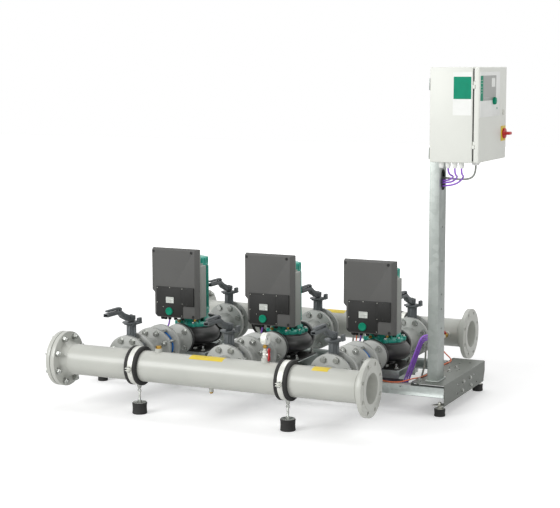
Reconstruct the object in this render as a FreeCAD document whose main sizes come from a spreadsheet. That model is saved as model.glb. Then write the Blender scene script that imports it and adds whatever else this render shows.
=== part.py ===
import FreeCAD, Part
import math
import os

import Sketcher
from FreeCAD import Placement, Rotation, Vector

# Booster set: three inline pumps between two manifolds, on a sheet-metal base
# with a column that carries the control cabinet.
# X runs along the manifolds, Y from the suction side to the discharge side, Z up.

sizes = {
    # manifolds
    "axisHeight": 220.0,
    "pumpPitch": 510.0,
    "endReach": 250.0,
    "pipeOuter": 139.7,
    "pipeWall": 4.0,
    "flangeOuter": 250.0,
    "flangeThick": 22.0,
    "flangeCircle": 210.0,
    "flangeHole": 18.0,
    "raisedFace": 188.0,
    "faceStep": 2.0,
    "hubOuter": 166.0,
    "hubLength": 30.0,
    "blindThick": 22.0,
    # branches
    "stubReach": 155.0,
    "branchOuter": 88.9,
    "branchWall": 3.2,
    "branchFlange": 200.0,
    "branchFlangeThick": 20.0,
    "portOuter": 48.3,
    "portWall": 2.6,
    "portFlange": 150.0,
    "portFlangeThick": 18.0,
    "spoolLength": 172.0,
    "reducerLength": 188.0,
    # check valve
    "checkLength": 68.0,
    "checkOuter": 142.0,
    "seatBore": 66.0,
    "seatLength": 12.0,
    "flapOverlap": 3.0,
    "flapThick": 6.0,
    "flapPin": 6.0,
    "flapPinRise": 36.0,
    "flapPinLength": 66.0,
    # butterfly valve
    "valveLength": 50.0,
    "valveOuter": 138.0,
    "valveBore": 80.0,
    "neckOuter": 36.0,
    "neckTop": 153.0,
    "neckPad": 54.0,
    "neckPadThick": 8.0,
    "stemOuter": 16.0,
    "discGap": 0.5,
    "discThick": 10.0,
    "notchPlateThick": 8.0,
    "notchPlateReach": 42.0,
    "notchPlateHalf": 20.0,
    "leverReach": 220.0,
    "leverWidth": 26.0,
    "leverDepth": 16.0,
    "leverRise": 26.5,
    "leverHub": 20.0,
    "armReach": 80.0,
    "armDepth": 26.0,
    "gripRise": 41.0,
    "gripLength": 110.0,
    "gripWall": 3.0,
    "triggerThick": 9.0,
    "triggerLift": 6.0,
    "triggerWidth": 20.0,
    # pump
    "pumpLength": 324.0,
    "voluteOuter": 246.0,
    "voluteBottom": 150.0,
    "voluteLow": 45.0,
    "voluteBelly": 6.0,
    "voluteShoulder": 24.0,
    "casingTop": 48.0,
    "casingNeck": 92.0,
    "portNeck": 66.0,
    "footSpan": 84.0,
    "chamberOuter": 176.0,
    "chamberLow": 18.0,
    "coverOuter": 192.0,
    "coverThick": 16.0,
    "bracketTop": 118.0,
    "bracketFoot": 148.0,
    "bracketNeck": 128.0,
    "bracketWall": 10.0,
    "bracketSeat": 15.0,
    "windowWidth": 60.0,
    "windowHeight": 24.0,
    "windowRise": 8.0,
    "shaftOuter": 24.0,
    "shaftDepth": 60.0,
    "impellerOuter": 164.0,
    "impellerThick": 5.0,
    "bladeHeight": 14.0,
    "bladeThick": 5.0,
    "bladeStart": 24.0,
    "motorOuter": 132.0,
    "motorHeight": 274.0,
    "motorCap": 16.0,
    "finReach": 7.0,
    "finThick": 5.0,
    "finMargin": 30.0,
    # controller
    "controllerFront": 195.0,
    "controllerLeft": 132.0,
    "controllerRight": 126.0,
    "controllerLow": 108.0,
    "controllerTop": 451.0,
    "controllerStep": 14.0,
    "stepHeight": 243.0,
    "coverCorner": 14.0,
    "coverDepth": 16.0,
    "coverBevel": 22.0,
    "coverBevelDepth": 13.0,
    "housingTop": 366.0,
    "housingDepth": 69.0,
    "housingInset": 2.0,
    "panelLeft": 108.0,
    "panelRight": 101.0,
    "panelLow": 113.0,
    "panelTop": 261.0,
    "panelThick": 3.0,
    "terminalLeft": 42.0,
    "terminalLow": 171.0,
    "terminalThick": 5.0,
    "displayLeft": 55.0,
    "displayLow": 180.0,
    "displayWidth": 45.0,
    "displayHeight": 31.0,
    "knobShift": 35.0,
    "knobHeight": 140.0,
    "knobOuter": 38.0,
    "knobThick": 9.0,
    "neckWidth": 90.0,
    "neckHeight": 140.0,
    "neckLow": 150.0,
    # base frame
    "baseDepth": 600.0,
    "baseOverhang": 400.0,
    "deckHeight": 145.0,
    "deckWidth": 160.0,
    "farDeckWidth": 60.0,
    "endPlateLow": 48.0,
    "sheetThick": 3.0,
    "railLow": 85.0,
    "railHeight": 45.0,
    "railDepth": 40.0,
    "railLip": 10.0,
    "crossWidth": 120.0,
    "crossLow": 60.0,
    "ductRight": 110.5,
    "ductLength": 1285.0,
    "ductPlace": 622.5,
    "ductWidth": 57.0,
    "ductHeight": 27.0,
    "ductWall": 2.0,
    "supportWidth": 224.0,
    "supportLength": 228.0,
    "pumpPlateThick": 6.0,
    "pumpPlateEdge": 5.0,
    "footOuter": 51.0,
    "footHeight": 35.0,
    "studOuter": 10.0,
    "studNut": 17.0,
    "studNutThick": 8.0,
    "footInset": 28.0,
    "footInsetDepth": 20.0,
    "footPlate": 56.0,
    # manifold supports
    "clampWidth": 58.0,
    "rubberThick": 16.0,
    "bandWidth": 25.0,
    "bandThick": 2.5,
    "earReach": 16.0,
    "earThick": 20.0,
    "clampRight": 387.0,
    "clampLeft": 1124.0,
    "rearClampRight": 353.0,
    "rearClampLeft": 1158.0,
    "bufferOuter": 68.0,
    "bufferHeight": 57.0,
    "rodOuter": 12.0,
    # column and cabinet
    "columnFace": 98.0,
    "columnWidth": 48.0,
    "columnDepth": 90.0,
    "columnWall": 3.0,
    "columnPlace": 592.0,
    "columnTop": 1500.0,
    "columnPlateThick": 5.0,
    "columnPlateEdge": 7.0,
    "slotHeight": 84.0,
    "slotWidth": 34.0,
    "slotRise": 1052.0,
    "exitWidth": 60.0,
    "exitHeight": 60.0,
    "exitRise": 340.0,
    "bracketThick": 4.0,
    "bracketHeight": 50.0,
    "bracketInset": 12.0,
    "cabinetWidth": 400.0,
    "cabinetHeight": 404.0,
    "cabinetDepth": 190.0,
    "cabinetLow": 1143.0,
    "cabinetWall": 2.0,
    "rimDepth": 10.0,
    "rimInset": 9.0,
    "doorThick": 17.0,
    "doorGap": 13.0,
    "doorRim": 15.0,
    "hingePin": 6.0,
    "hingeWidth": 9.0,
    "knuckleOuter": 8.4,
    "hingeHeight": 30.0,
    "hingeInset": 60.0,
    "trayInset": 25.0,
    "trayThick": 3.0,
    "lockOuter": 20.0,
    "lockFromEdge": 48.0,
    "lockHeight": 205.0,
    "lockCam": 30.0,
    "switchPlate": 66.0,
    "switchFromEdge": 47.0,
    "switchHeight": 112.0,
    "switchOuter": 46.0,
    "switchShaft": 16.0,
    "switchReach": 34.0,
    "fasciaWidth": 286.0,
    "fasciaHeight": 192.0,
    "fasciaThick": 3.0,
    "fasciaTop": 20.0,
    "fasciaEdge": 4.0,
    "dialOuter": 30.0,
    "dialThick": 12.0,
    "dialShaft": 10.0,
    "dialFromEdge": 205.0,
    "dialHeight": 259.0,
    "glandAcross": 22.0,
    "largeGlandAcross": 36.0,
    "glandLength": 26.0,
    "glandPitch": 30.0,
    "glandRow": 30.0,
    "glandStart": 46.0,
    "largeGlandReach": 134.0,
    "largeGlandRow": 238.0,
    # tappings and gauge
    "socketOuter": 34.0,
    "socketHeight": 16.0,
    "plugAcross": 19.0,
    "plugHeight": 12.0,
    "plugPlace": 1022.0,
    "gaugePlace": 495.0,
    "gaugeOuter": 53.0,
    "gaugeThick": 26.0,
    "gaugeRise": 172.0,
    "gaugeStem": 14.0,
    "pointerThick": 1.0,
    "cockLength": 34.0,
    "cockOuter": 22.0,
    "cockLever": 44.0,
    "cockLeverWidth": 14.0,
    "cockLeverThick": 5.0,
    "gaugeLever": 56.0,
    "gaugeLeverWidth": 20.0,
    "gaugeLeverClear": 0.5,
    "cockPin": 6.0,
    "sensorPlace": 104.0,
    "sensorOuter": 20.0,
    "sensorLength": 60.0,
    "drainPlace": 758.0,
    "drainOuter": 22.0,
    "drainDrop": 24.0,
    # leads
    "leadOuter": 8.0,
    "supplyOuter": 9.0,
    "sensorLead": 6.0,
    # clearances
    "runningGap": 0.05,
    "restGap": 0.3,
}

doc = FreeCAD.newDocument("BoosterSet")
sheet = doc.addObject("Spreadsheet::Sheet", "Sizes")


# A value of the sheet, or a sum or product of such values: it carries its number
# and the text of the expression that binds an object to the sheet.
class Size:
    def __init__(self, value, text):
        self.value = float(value)
        self.text = text

    def join(self, other, sign, value, swap=False):
        text = other.text if isinstance(other, Size) else repr(float(other))
        first, second = (text, self.text) if swap else (self.text, text)
        return Size(value, f"({first} {sign} {second})")

    def __add__(self, other):
        return self.join(other, "+", self.value + float(other))

    def __radd__(self, other):
        return self.join(other, "+", self.value + float(other), True)

    def __sub__(self, other):
        return self.join(other, "-", self.value - float(other))

    def __rsub__(self, other):
        return self.join(other, "-", float(other) - self.value, True)

    def __mul__(self, other):
        return self.join(other, "*", self.value * float(other))

    def __rmul__(self, other):
        return self.join(other, "*", self.value * float(other), True)

    def __truediv__(self, other):
        return self.join(other, "/", self.value / float(other))

    def __neg__(self):
        return Size(-self.value, f"(0 - {self.text})")

    def __float__(self):
        return self.value


class Sizes:
    pass


d = Sizes()
for row, (alias, value) in enumerate(sizes.items(), 1):
    sheet.set(f"A{row}", alias)
    sheet.set(f"B{row}", str(value))
    sheet.setAlias(f"B{row}", alias)
    setattr(d, alias, Size(value, "Sizes." + alias))
doc.recompute()


turns = {
    "Z": Rotation(),
    "X": Rotation(Vector(0, 1, 0), 90),
    "-X": Rotation(Vector(0, 1, 0), -90),
    "Y": Rotation(Vector(1, 0, 0), -90),
    "-Y": Rotation(Vector(1, 0, 0), 90),
    "-Z": Rotation(Vector(1, 0, 0), 180),
    "back": Rotation(Vector(0, 0, 1), 180),
}

nodes = []
made = {}


def unique(name):
    made[name] = made.get(name, 0) + 1
    if made[name] == 1:
        return name
    return f"{name}_{made[name]}"


def drive(thing, prop, size):
    if isinstance(size, Size):
        thing.setExpression(prop, size.text)
    else:
        setattr(thing, prop, size)


def put(thing, at, turn=None):
    base = Vector(*(float(value) for value in at))
    thing.Placement = Placement(base, turn or Rotation())
    for letter, value in zip("xyz", at):
        if isinstance(value, Size):
            thing.setExpression("Placement.Base." + letter, value.text)
    return thing


def cylinder(name, radius, height, at=(0, 0, 0), axis="Z"):
    thing = doc.addObject("Part::Cylinder", unique(name))
    drive(thing, "Radius", radius)
    drive(thing, "Height", height)
    return put(thing, at, turns[axis])


def box(name, length, width, height, at=(0, 0, 0)):
    thing = doc.addObject("Part::Box", unique(name))
    drive(thing, "Length", length)
    drive(thing, "Width", width)
    drive(thing, "Height", height)
    return put(thing, at)


# What repeats is drawn with few sides: a prism whose corners lie on the circle.
def prism(name, sides, radius, height, at=(0, 0, 0), axis="Z"):
    thing = doc.addObject("Part::Prism", unique(name))
    thing.Polygon = sides
    drive(thing, "Circumradius", radius)
    drive(thing, "Height", height)
    return put(thing, at, turns[axis])


# A bore or a nut is a prism whose flats touch the circle from outside.
def around(name, sides, radius, height, at=(0, 0, 0), axis="Z"):
    return prism(name, sides, radius / math.cos(math.pi / sides), height, at, axis)


# A taper between two such prisms, closed by flat faces.
def taper(name, sides, radius1, radius2, height, at=(0, 0, 0), axis="Z"):
    rings = []
    for radius, rise in ((radius1, 0), (radius2, height)):
        ring = []
        for number in range(sides):
            angle = 2 * math.pi * number / sides
            ring.append(Vector(float(radius) * math.cos(angle), float(radius) * math.sin(angle), float(rise)))
        rings.append(ring)
    outlines = [rings[0], rings[1]]
    for number in range(sides):
        following = (number + 1) % sides
        outlines.append([rings[0][number], rings[0][following], rings[1][following], rings[1][number]])
    faces = [Part.Face(Part.makePolygon(points + [points[0]])) for points in outlines]
    thing = doc.addObject("Part::Feature", unique(name))
    thing.Shape = Part.makeSolid(Part.makeShell(faces))
    return put(thing, at, turns[axis])


def fuse(name, *shapes):
    thing = doc.addObject("Part::MultiFuse", unique(name))
    thing.Shapes = list(shapes)
    thing.Refine = True
    return thing


def cut(name, base, *tools):
    thing = doc.addObject("Part::Cut", unique(name))
    thing.Base = base
    thing.Tool = tools[0] if len(tools) == 1 else fuse(name + "_tools", *tools)
    thing.Refine = True
    return thing


def outline(body, name, plane, points):
    sketch = body.newObject("Sketcher::SketchObject", name)
    planes = {feature.Role: feature for feature in body.Origin.OriginFeatures}
    sketch.AttachmentSupport = [(planes[plane], "")]
    sketch.MapMode = "FlatFace"
    count = len(points)
    for index in range(count):
        start, end = points[index], points[(index + 1) % count]
        first = Vector(float(start[0]), float(start[1]), 0)
        last = Vector(float(end[0]), float(end[1]), 0)
        sketch.addGeometry(Part.LineSegment(first, last), False)
    for index in range(count):
        sketch.addConstraint(Sketcher.Constraint("Coincident", index, 2, (index + 1) % count, 1))
    for index, point in enumerate(points):
        for kind, size in zip(("DistanceX", "DistanceY"), point):
            number = sketch.addConstraint(Sketcher.Constraint(kind, -1, 1, index, 1, float(size)))
            if isinstance(size, Size):
                sketch.setExpression(f"Constraints[{number}]", size.text)
    return sketch


# A body padded from an outline: XY rises along Z, XZ runs along -Y, YZ along X.
def padded(name, plane, points, length, shift=0):
    body = doc.addObject("PartDesign::Body", unique(name))
    sketch = outline(body, name + "_profile", plane, points)
    if isinstance(shift, Size):
        sketch.setExpression("AttachmentOffset.Base.z", shift.text)
    pad = body.newObject("PartDesign::Pad", name + "_pad")
    pad.Profile = sketch
    drive(pad, "Length", length)
    return body


# One node of the set: each thing is placed at each of its places.
def node(label, *pairs):
    links = []
    for thing, places in pairs:
        for at, axis in places:
            link = doc.addObject("App::Link", f"{label}_link_{len(links) + 1}")
            link.LinkedObject = thing
            link.LinkTransform = True
            links.append(put(link, at, turns[axis]))
    return gather(label, links)


def gather(label, things):
    group = doc.addObject("Part::Compound", "node_" + label)
    group.Links = things
    group.Label = label
    nodes.append(group)
    return group


# Places along Y, from the suction manifold's axis.
yValve = d.stubReach + d.valveLength / 2
ySpool = d.stubReach + d.valveLength
yCheck = ySpool + d.spoolLength
yReducer = yCheck + d.checkLength
yPumpFace = yReducer + d.reducerLength
yPump = yPumpFace + d.pumpLength / 2
yRearFlange = yPumpFace + d.pumpLength + d.reducerLength
yRearValve = yRearFlange + d.valveLength / 2
yRear = yRearFlange + d.valveLength + d.stubReach

# Places along X, from the manifolds' open faces.
headerLength = d.endReach * 2 + d.pumpPitch * 2
branchX = [
    -(d.endReach + d.pumpPitch * 2),
    -(d.endReach + d.pumpPitch),
    -d.endReach]
baseMiddle = -(d.endReach + d.pumpPitch)
baseLeft = baseMiddle - d.pumpPitch - d.baseOverhang
baseRight = baseMiddle + d.pumpPitch + d.baseOverhang
baseFront = yPump - d.baseDepth / 2
baseRear = yPump + d.baseDepth / 2
cabinetX = d.columnFace + d.bracketThick
cabinetFront = d.columnPlace - d.cabinetWidth / 2
cabinetRear = d.columnPlace + d.cabinetWidth / 2
cabinetTop = d.cabinetLow + d.cabinetHeight
doorX = cabinetX + d.cabinetDepth + d.doorGap
doorFace = doorX + d.doorThick
switchTip = doorFace + d.fasciaThick + d.switchReach

# The origin is the middle of the footprint, on the floor.
midX = (baseLeft + switchTip) / 2
midY = yRear / 2


def spot(x, y, z):
    return (x - midX, y - midY, z)


pipeRadius = d.pipeOuter / 2
pipeBore = d.pipeOuter / 2 - d.pipeWall
branchRadius = d.branchOuter / 2
branchBore = d.branchOuter / 2 - d.branchWall
portRadius = d.portOuter / 2
portBore = d.portOuter / 2 - d.portWall
frontAxis = spot(0, 0, d.axisHeight)
rearAxis = spot(0, yRear, d.axisHeight)


# Welded manifold: pipe, three flanged branches, the closed end's flange and the tappings.
def manifold(name, tappings):
    run = headerLength - d.flangeThick - d.hubLength
    start = (-headerLength, 0, 0)
    pieces = [
        cylinder(name + "_pipe", pipeRadius, run, start, "X"),
        prism(name + "_end_flange", 24, d.flangeOuter / 2, d.flangeThick, start, "X")]
    bores = [cylinder(name + "_bore", pipeBore, run, start, "X")]
    for x in branchX:
        flangeY = d.stubReach - d.branchFlangeThick
        pieces.append(prism("stub", 12, branchRadius, d.stubReach, (x, 0, 0), "Y"))
        pieces.append(prism("stub_flange", 16, d.branchFlange / 2, d.branchFlangeThick, (x, flangeY, 0), "Y"))
        bores.append(around("stub_bore", 12, branchBore, d.stubReach + 1, (x, 0, 0), "Y"))
    for x, radius, reach, axis in tappings:
        pieces.append(prism("tapping", 12, radius, pipeRadius + reach, (x, 0, 0), axis))
    return cut(name + "_bored", fuse(name + "_welded", *pieces), *bores)


suctionTappings = [
    (-d.plugPlace, d.socketOuter / 2, d.socketHeight, "Z"),
    (-d.gaugePlace, d.socketOuter / 2, d.socketHeight, "Z"),
    (-d.drainPlace, d.drainOuter / 2, d.drainDrop, "-Z")]
dischargeTappings = [(-d.sensorPlace, d.socketOuter / 2, d.socketHeight, "Y")]
node("suction_manifold", (manifold("suction", suctionTappings), [(frontAxis, "Z")]))
node("discharge_manifold", (manifold("discharge", dischargeTappings), [(rearAxis, "-Z")]))

# Weld-neck flange of the open end, drilled on its bolt circle.
faceHeight = d.hubLength + d.flangeThick
backHeight = faceHeight - d.faceStep
neckBlank = fuse(
    "neck_flange",
    taper("neck_hub", 24, pipeRadius, d.hubOuter / 2, d.hubLength),
    prism("neck_plate", 24, d.flangeOuter / 2, d.flangeThick - d.faceStep, (0, 0, d.hubLength)),
    prism("neck_face", 24, d.raisedFace / 2, d.faceStep, (0, 0, backHeight)))
drills = []
for number in range(8):
    angle = math.radians(22.5 + 45 * number)
    drillAt = (d.flangeCircle / 2 * math.cos(angle), d.flangeCircle / 2 * math.sin(angle), d.hubLength - 1)
    drills.append(cylinder("bolt_hole", d.flangeHole / 2, d.flangeThick + 2, drillAt))
drills.append(cylinder("flange_bore", pipeBore, faceHeight))
neckFlange = cut("drilled_flange", neckBlank, *drills)
node("open_end_flanges", (neckFlange, [(spot(-faceHeight, y, d.axisHeight), "X") for y in (0, yRear)]))
blind = prism("blind", 24, d.flangeOuter / 2, d.blindThick)
blindX = -headerLength - d.blindThick
node("blind_flanges", (blind, [(spot(blindX, y, d.axisHeight), "X") for y in (0, yRear)]))

# Spool between the suction butterfly valve and the check valve.
spoolBack = d.spoolLength - d.branchFlangeThick
spool = cut(
    "spool",
    fuse("spool_welded",
         prism("spool_pipe", 12, branchRadius, d.spoolLength),
         prism("spool_flange", 16, d.branchFlange / 2, d.branchFlangeThick),
         prism("spool_flange", 16, d.branchFlange / 2, d.branchFlangeThick, (0, 0, spoolBack))),
    around("spool_bore", 12, branchBore, d.spoolLength))
node("suction_spools", (spool, [(spot(x, ySpool, d.axisHeight), "Y") for x in branchX]))

# Reducer from the branch size to the pump's port.
reducerBack = d.reducerLength - d.portFlangeThick
reducer = cut(
    "reducer",
    fuse("reducer_welded",
         taper("reducer_cone", 12, branchRadius, portRadius, d.reducerLength),
         prism("reducer_flange", 16, d.branchFlange / 2, d.branchFlangeThick),
         prism("reducer_port_flange", 16, d.portFlange / 2, d.portFlangeThick, (0, 0, reducerBack))),
    taper("reducer_bore", 12, branchBore, portBore, d.reducerLength))
reducerPlaces = [(spot(x, yReducer, d.axisHeight), "Y") for x in branchX]
reducerPlaces += [(spot(x, yRearFlange, d.axisHeight), "-Y") for x in branchX]
node("reducers", (reducer, reducerPlaces))

# Wafer check valve: a ring with a seat and a flap on a pin above the seat.
flapPinY = d.seatLength + d.restGap + d.flapThick / 2
checkBody = cut(
    "check_body",
    prism("check_ring", 16, d.checkOuter / 2, d.checkLength),
    around("check_bore", 12, branchBore, d.checkLength, (0, 0, d.seatLength)),
    around("check_seat", 12, d.seatBore / 2, d.checkLength),
    around("pin_hole", 12, d.flapPin / 2 + d.runningGap, d.flapPinLength + d.restGap * 2,
           (-(d.flapPinLength / 2) - d.restGap, -d.flapPinRise, flapPinY), "X"))
checkPlaces = [(spot(x, yCheck, d.axisHeight), "Y") for x in branchX]
node("check_valve_bodies", (checkBody, checkPlaces))
flap = fuse(
    "flap",
    prism("flap_plate", 16, d.seatBore / 2 + d.flapOverlap, d.flapThick, (0, 0, d.seatLength + d.restGap)),
    prism("flap_pin", 12, d.flapPin / 2, d.flapPinLength,
          (-(d.flapPinLength / 2), -d.flapPinRise, flapPinY), "X"))
for number, place in enumerate(checkPlaces, 1):
    node(f"check_flap_{number}", (flap, [place]))

# Butterfly valve: ring with neck, notch plate, disc on its stem, lever and latch.
valveHalf = d.valveLength / 2
stemTop = d.neckTop + d.notchPlateThick + d.restGap
valveBody = cut(
    "valve_body",
    fuse("valve_casting",
         prism("valve_ring", 16, d.valveOuter / 2, d.valveLength, (0, -valveHalf, 0), "Y"),
         prism("valve_neck", 8, d.neckOuter / 2, d.neckTop),
         prism("valve_pad", 8, d.neckPad / 2, d.neckPadThick, (0, 0, d.neckTop - d.neckPadThick))),
    around("valve_bore", 16, d.valveBore / 2, d.valveLength, (0, -valveHalf, 0), "Y"),
    around("stem_hole", 12, d.stemOuter / 2 + d.runningGap, d.neckTop))
disc = fuse(
    "disc",
    prism("disc_plate", 16, d.valveBore / 2 - d.discGap, d.discThick, (-(d.discThick / 2), 0, 0), "X"),
    prism("disc_stem", 8, d.stemOuter / 2, stemTop))
reach, half = d.notchPlateReach, d.notchPlateHalf
notchPlate = cut(
    "notch_plate_bored",
    padded("notch_plate", "XY_Plane", [
        (reach, -half / 2), (reach, half / 2), (half, half), (-half, half),
        (-reach, half * 0.8), (-reach, -half * 0.8), (-half, -half), (half, -half)], d.notchPlateThick),
    around("plate_hole", 12, d.stemOuter / 2 + d.restGap, d.notchPlateThick))

# The lever points forwards along the pipe, as on an open valve, and its arm climbs to a hollow grip.
hubTop = stemTop + d.leverRise
gripTop = hubTop + d.gripRise
gripLow = gripTop - d.leverDepth
gripEnd = -d.leverReach + d.gripLength
stopRear = gripEnd + 20
stopTop = gripTop + d.triggerLift + 4
leverHalf = d.leverWidth / 2
lever = cut(
    "lever",
    padded("lever_bar", "YZ_Plane", [
        (d.leverHub, stemTop), (d.leverHub, hubTop), (-(d.leverHub / 2), hubTop),
        (-d.armReach, hubTop + d.armDepth), (stopRear, gripTop), (stopRear, stopTop),
        (stopRear - 8, stopTop), (stopRear - 8, gripTop), (-d.leverReach, gripTop),
        (-d.leverReach, gripLow), (gripEnd, gripLow), (-d.armReach, hubTop),
        (-d.leverHub, stemTop)], d.leverWidth, -leverHalf),
    box("grip_room", d.leverWidth - d.gripWall * 2, d.gripLength - 8, d.leverDepth - d.gripWall * 2,
        (-leverHalf + d.gripWall, -d.leverReach, gripLow + d.gripWall)))
latchRear = stopRear - 8 - d.restGap
latchLow = gripTop + d.triggerLift
latch = padded("latch", "YZ_Plane", [
    (latchRear, gripTop + d.restGap), (latchRear, latchLow + 4),
    (latchRear - 10, latchLow + d.triggerThick), (-d.leverReach + 7, latchLow + d.triggerThick),
    (-d.leverReach + 7, latchLow), (latchRear - 10, latchLow),
    (latchRear - 10, gripTop + d.restGap)], d.triggerWidth, -(d.triggerWidth / 2))

valvePlaces = {}
for number, x in enumerate(branchX, 1):
    valvePlaces[f"suction_{number}"] = spot(x, yValve, d.axisHeight)
for number, x in enumerate(branchX, 1):
    valvePlaces[f"discharge_{number}"] = spot(x, yRearValve, d.axisHeight)
bodyPlaces = [(at, "Z") for at in valvePlaces.values()]
platePlaces = [((x, y, z + d.neckTop), "Z") for x, y, z in valvePlaces.values()]
node("valve_bodies", (valveBody, bodyPlaces), (notchPlate, platePlaces))
for name, at in valvePlaces.items():
    node(f"{name}_lever", (disc, [(at, "Z")]), (lever, [(at, "Z")]))
    node(f"{name}_latch", (latch, [(at, "Z")]))

# Pump casing: volute with two flanged ports in line, open at the top for the impeller.
bellyTop = d.casingTop - d.voluteShoulder
volute = fuse(
    "volute",
    taper("volute_low", 20, d.voluteBottom / 2, d.voluteOuter / 2, d.voluteLow - d.voluteBelly,
          (0, 0, -d.voluteLow)),
    prism("volute_belly", 20, d.voluteOuter / 2, bellyTop + d.voluteBelly, (0, 0, -d.voluteBelly)),
    taper("volute_shoulder", 20, d.voluteOuter / 2, d.coverOuter / 2, d.voluteShoulder, (0, 0, bellyTop)))
halfPump = d.pumpLength / 2
portReach = halfPump - d.portFlangeThick
supportFace = d.deckHeight + d.sheetThick
footDrop = d.axisHeight - supportFace - d.pumpPlateThick
casing = cut(
    "casing",
    fuse("casing_casting", volute,
         taper("inlet_neck", 12, d.casingNeck / 2, d.portNeck / 2, portReach, (0, 0, 0), "-Y"),
         taper("outlet_neck", 12, d.casingNeck / 2, d.portNeck / 2, portReach, (0, 0, 0), "Y"),
         prism("inlet_flange", 16, d.portFlange / 2, d.portFlangeThick, (0, -portReach, 0), "-Y"),
         prism("outlet_flange", 16, d.portFlange / 2, d.portFlangeThick, (0, portReach, 0), "Y"),
         box("casing_foot", d.footSpan, d.footSpan, footDrop,
             (-(d.footSpan / 2), -(d.footSpan / 2), -footDrop))),
    around("chamber", 16, d.chamberOuter / 2, d.chamberLow + d.casingTop, (0, 0, -d.chamberLow)),
    around("inlet_bore", 12, portBore, halfPump, (0, 0, 0), "-Y"),
    around("outlet_bore", 12, portBore, halfPump, (0, 0, 0), "Y"))
pumpPlaces = [(spot(x, yPump, d.axisHeight), "Z") for x in branchX]
node("pump_casings", (casing, pumpPlaces))

# Motor bracket on the casing, with a window each side that shows the shaft.
coverTop = d.casingTop + d.coverThick
seatLow = d.bracketTop - d.bracketSeat
windowSpan = d.bracketFoot + 10
bracket = cut(
    "bracket",
    fuse("bracket_casting",
         prism("bracket_cover", 20, d.coverOuter / 2, d.coverThick, (0, 0, d.casingTop)),
         taper("bracket_cone", 20, d.bracketFoot / 2, d.bracketNeck / 2, d.bracketTop - coverTop,
               (0, 0, coverTop))),
    around("bracket_room", 12, d.bracketNeck / 2 - d.bracketWall * 1.6, seatLow - coverTop, (0, 0, coverTop)),
    around("bracket_bore", 12, d.shaftOuter / 2 + d.runningGap, d.bracketTop - d.casingTop,
           (0, 0, d.casingTop)),
    box("bracket_window", windowSpan, d.windowWidth, d.windowHeight,
        (-(windowSpan / 2), -(d.windowWidth / 2), coverTop + d.windowRise)))
node("motor_brackets", (bracket, pumpPlaces))

# Motor: closed ribbed housing with the neck that carries the controller.
motorTop = d.bracketTop + d.motorHeight
capLow = motorTop - d.motorCap
coverBack = -d.controllerFront + d.panelThick + d.coverDepth
housingBack = coverBack + d.housingDepth
motorPieces = [
    prism("motor_shell", 20, d.motorOuter / 2, d.motorHeight - d.motorCap, (0, 0, d.bracketTop)),
    taper("motor_cap", 20, d.motorOuter / 2, d.motorOuter / 2 - d.motorCap, d.motorCap, (0, 0, capLow)),
    box("motor_neck", d.neckWidth, -housingBack, d.neckHeight, (-(d.neckWidth / 2), housingBack, d.neckLow))]
finHalf = d.finThick / 2
finOuter = d.motorOuter / 2 + d.finReach
finHeight = d.motorHeight - d.motorCap - d.finMargin * 2
for number in range(10):
    angle = -36 + 28 * number
    radians = math.radians(angle)
    fin = box("motor_fin", finOuter, d.finThick, finHeight)
    finAt = (finHalf * math.sin(radians), -finHalf * math.cos(radians), d.bracketTop + d.finMargin)
    motorPieces.append(put(fin, finAt, Rotation(Vector(0, 0, 1), angle)))
    for letter, size in zip("xyz", finAt):
        fin.setExpression("Placement.Base." + letter, size.text)
motor = cut(
    "motor",
    fuse("motor_casting", *motorPieces),
    around("shaft_hole", 12, d.shaftOuter / 2 + d.runningGap, d.shaftDepth + d.restGap, (0, 0, d.bracketTop)))
node("motor_housings", (motor, pumpPlaces))

# Rotor: shaft and impeller, which turn together.
rotorPieces = [
    prism("shaft", 12, d.shaftOuter / 2, d.bracketTop + d.shaftDepth),
    prism("impeller_disc", 16, d.impellerOuter / 2, d.impellerThick, (0, 0, d.bladeHeight))]
bladeLength = d.impellerOuter / 2 - d.bladeStart - 10
for number in range(6):
    angle = 60 * number
    radians = math.radians(angle)
    blade = box("blade", bladeLength, d.bladeThick, d.bladeHeight)
    bladeAt = (d.bladeStart / 2 * math.cos(radians), d.bladeStart / 2 * math.sin(radians), 0)
    rotorPieces.append(put(blade, bladeAt, Rotation(Vector(0, 0, 1), angle + 20)))
rotor = fuse("rotor", *rotorPieces)
for number, place in enumerate(pumpPlaces, 1):
    node(f"pump_rotor_{number}", (rotor, [place]))

# Controller on the motor's front: housing, cover, operating panel, terminal cover, display and knob.
frontY = -d.controllerFront
panelBack = frontY + d.panelThick
housingLeft = -d.controllerLeft + d.controllerStep
housingRight = d.controllerRight - d.housingInset
coverPlate = padded("cover_plate", "XZ_Plane", [
    (d.controllerRight, d.controllerLow), (d.controllerRight, d.controllerTop),
    (-d.controllerLeft, d.controllerTop), (-d.controllerLeft, d.stepHeight),
    (housingLeft, d.stepHeight - d.controllerStep), (housingLeft, d.controllerLow + d.coverCorner),
    (housingLeft + d.coverCorner, d.controllerLow)], d.coverDepth, -coverBack)
coverBevel = padded("cover_bevel", "XY_Plane", [
    (d.controllerRight - d.coverBevel, panelBack), (d.controllerRight, panelBack),
    (d.controllerRight, panelBack + d.coverBevelDepth)], d.controllerTop - d.controllerLow, d.controllerLow)
cover = cut("controller_cover", coverPlate, coverBevel)
panel = cut(
    "panel",
    box("panel_plate", d.panelLeft + d.panelRight, d.panelThick, d.panelTop - d.panelLow,
        (-d.panelLeft, frontY, d.panelLow)),
    box("display_room", d.displayWidth, d.panelThick, d.displayHeight,
        (-d.displayLeft, frontY, d.displayLow)))
terminalCover = box("terminal_cover", d.panelRight - d.terminalLeft, d.terminalThick,
                    d.panelTop - d.terminalLow,
                    (d.terminalLeft, frontY - d.terminalThick, d.terminalLow))
node("controller_covers", (cover, pumpPlaces), (panel, pumpPlaces), (terminalCover, pumpPlaces))
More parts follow.
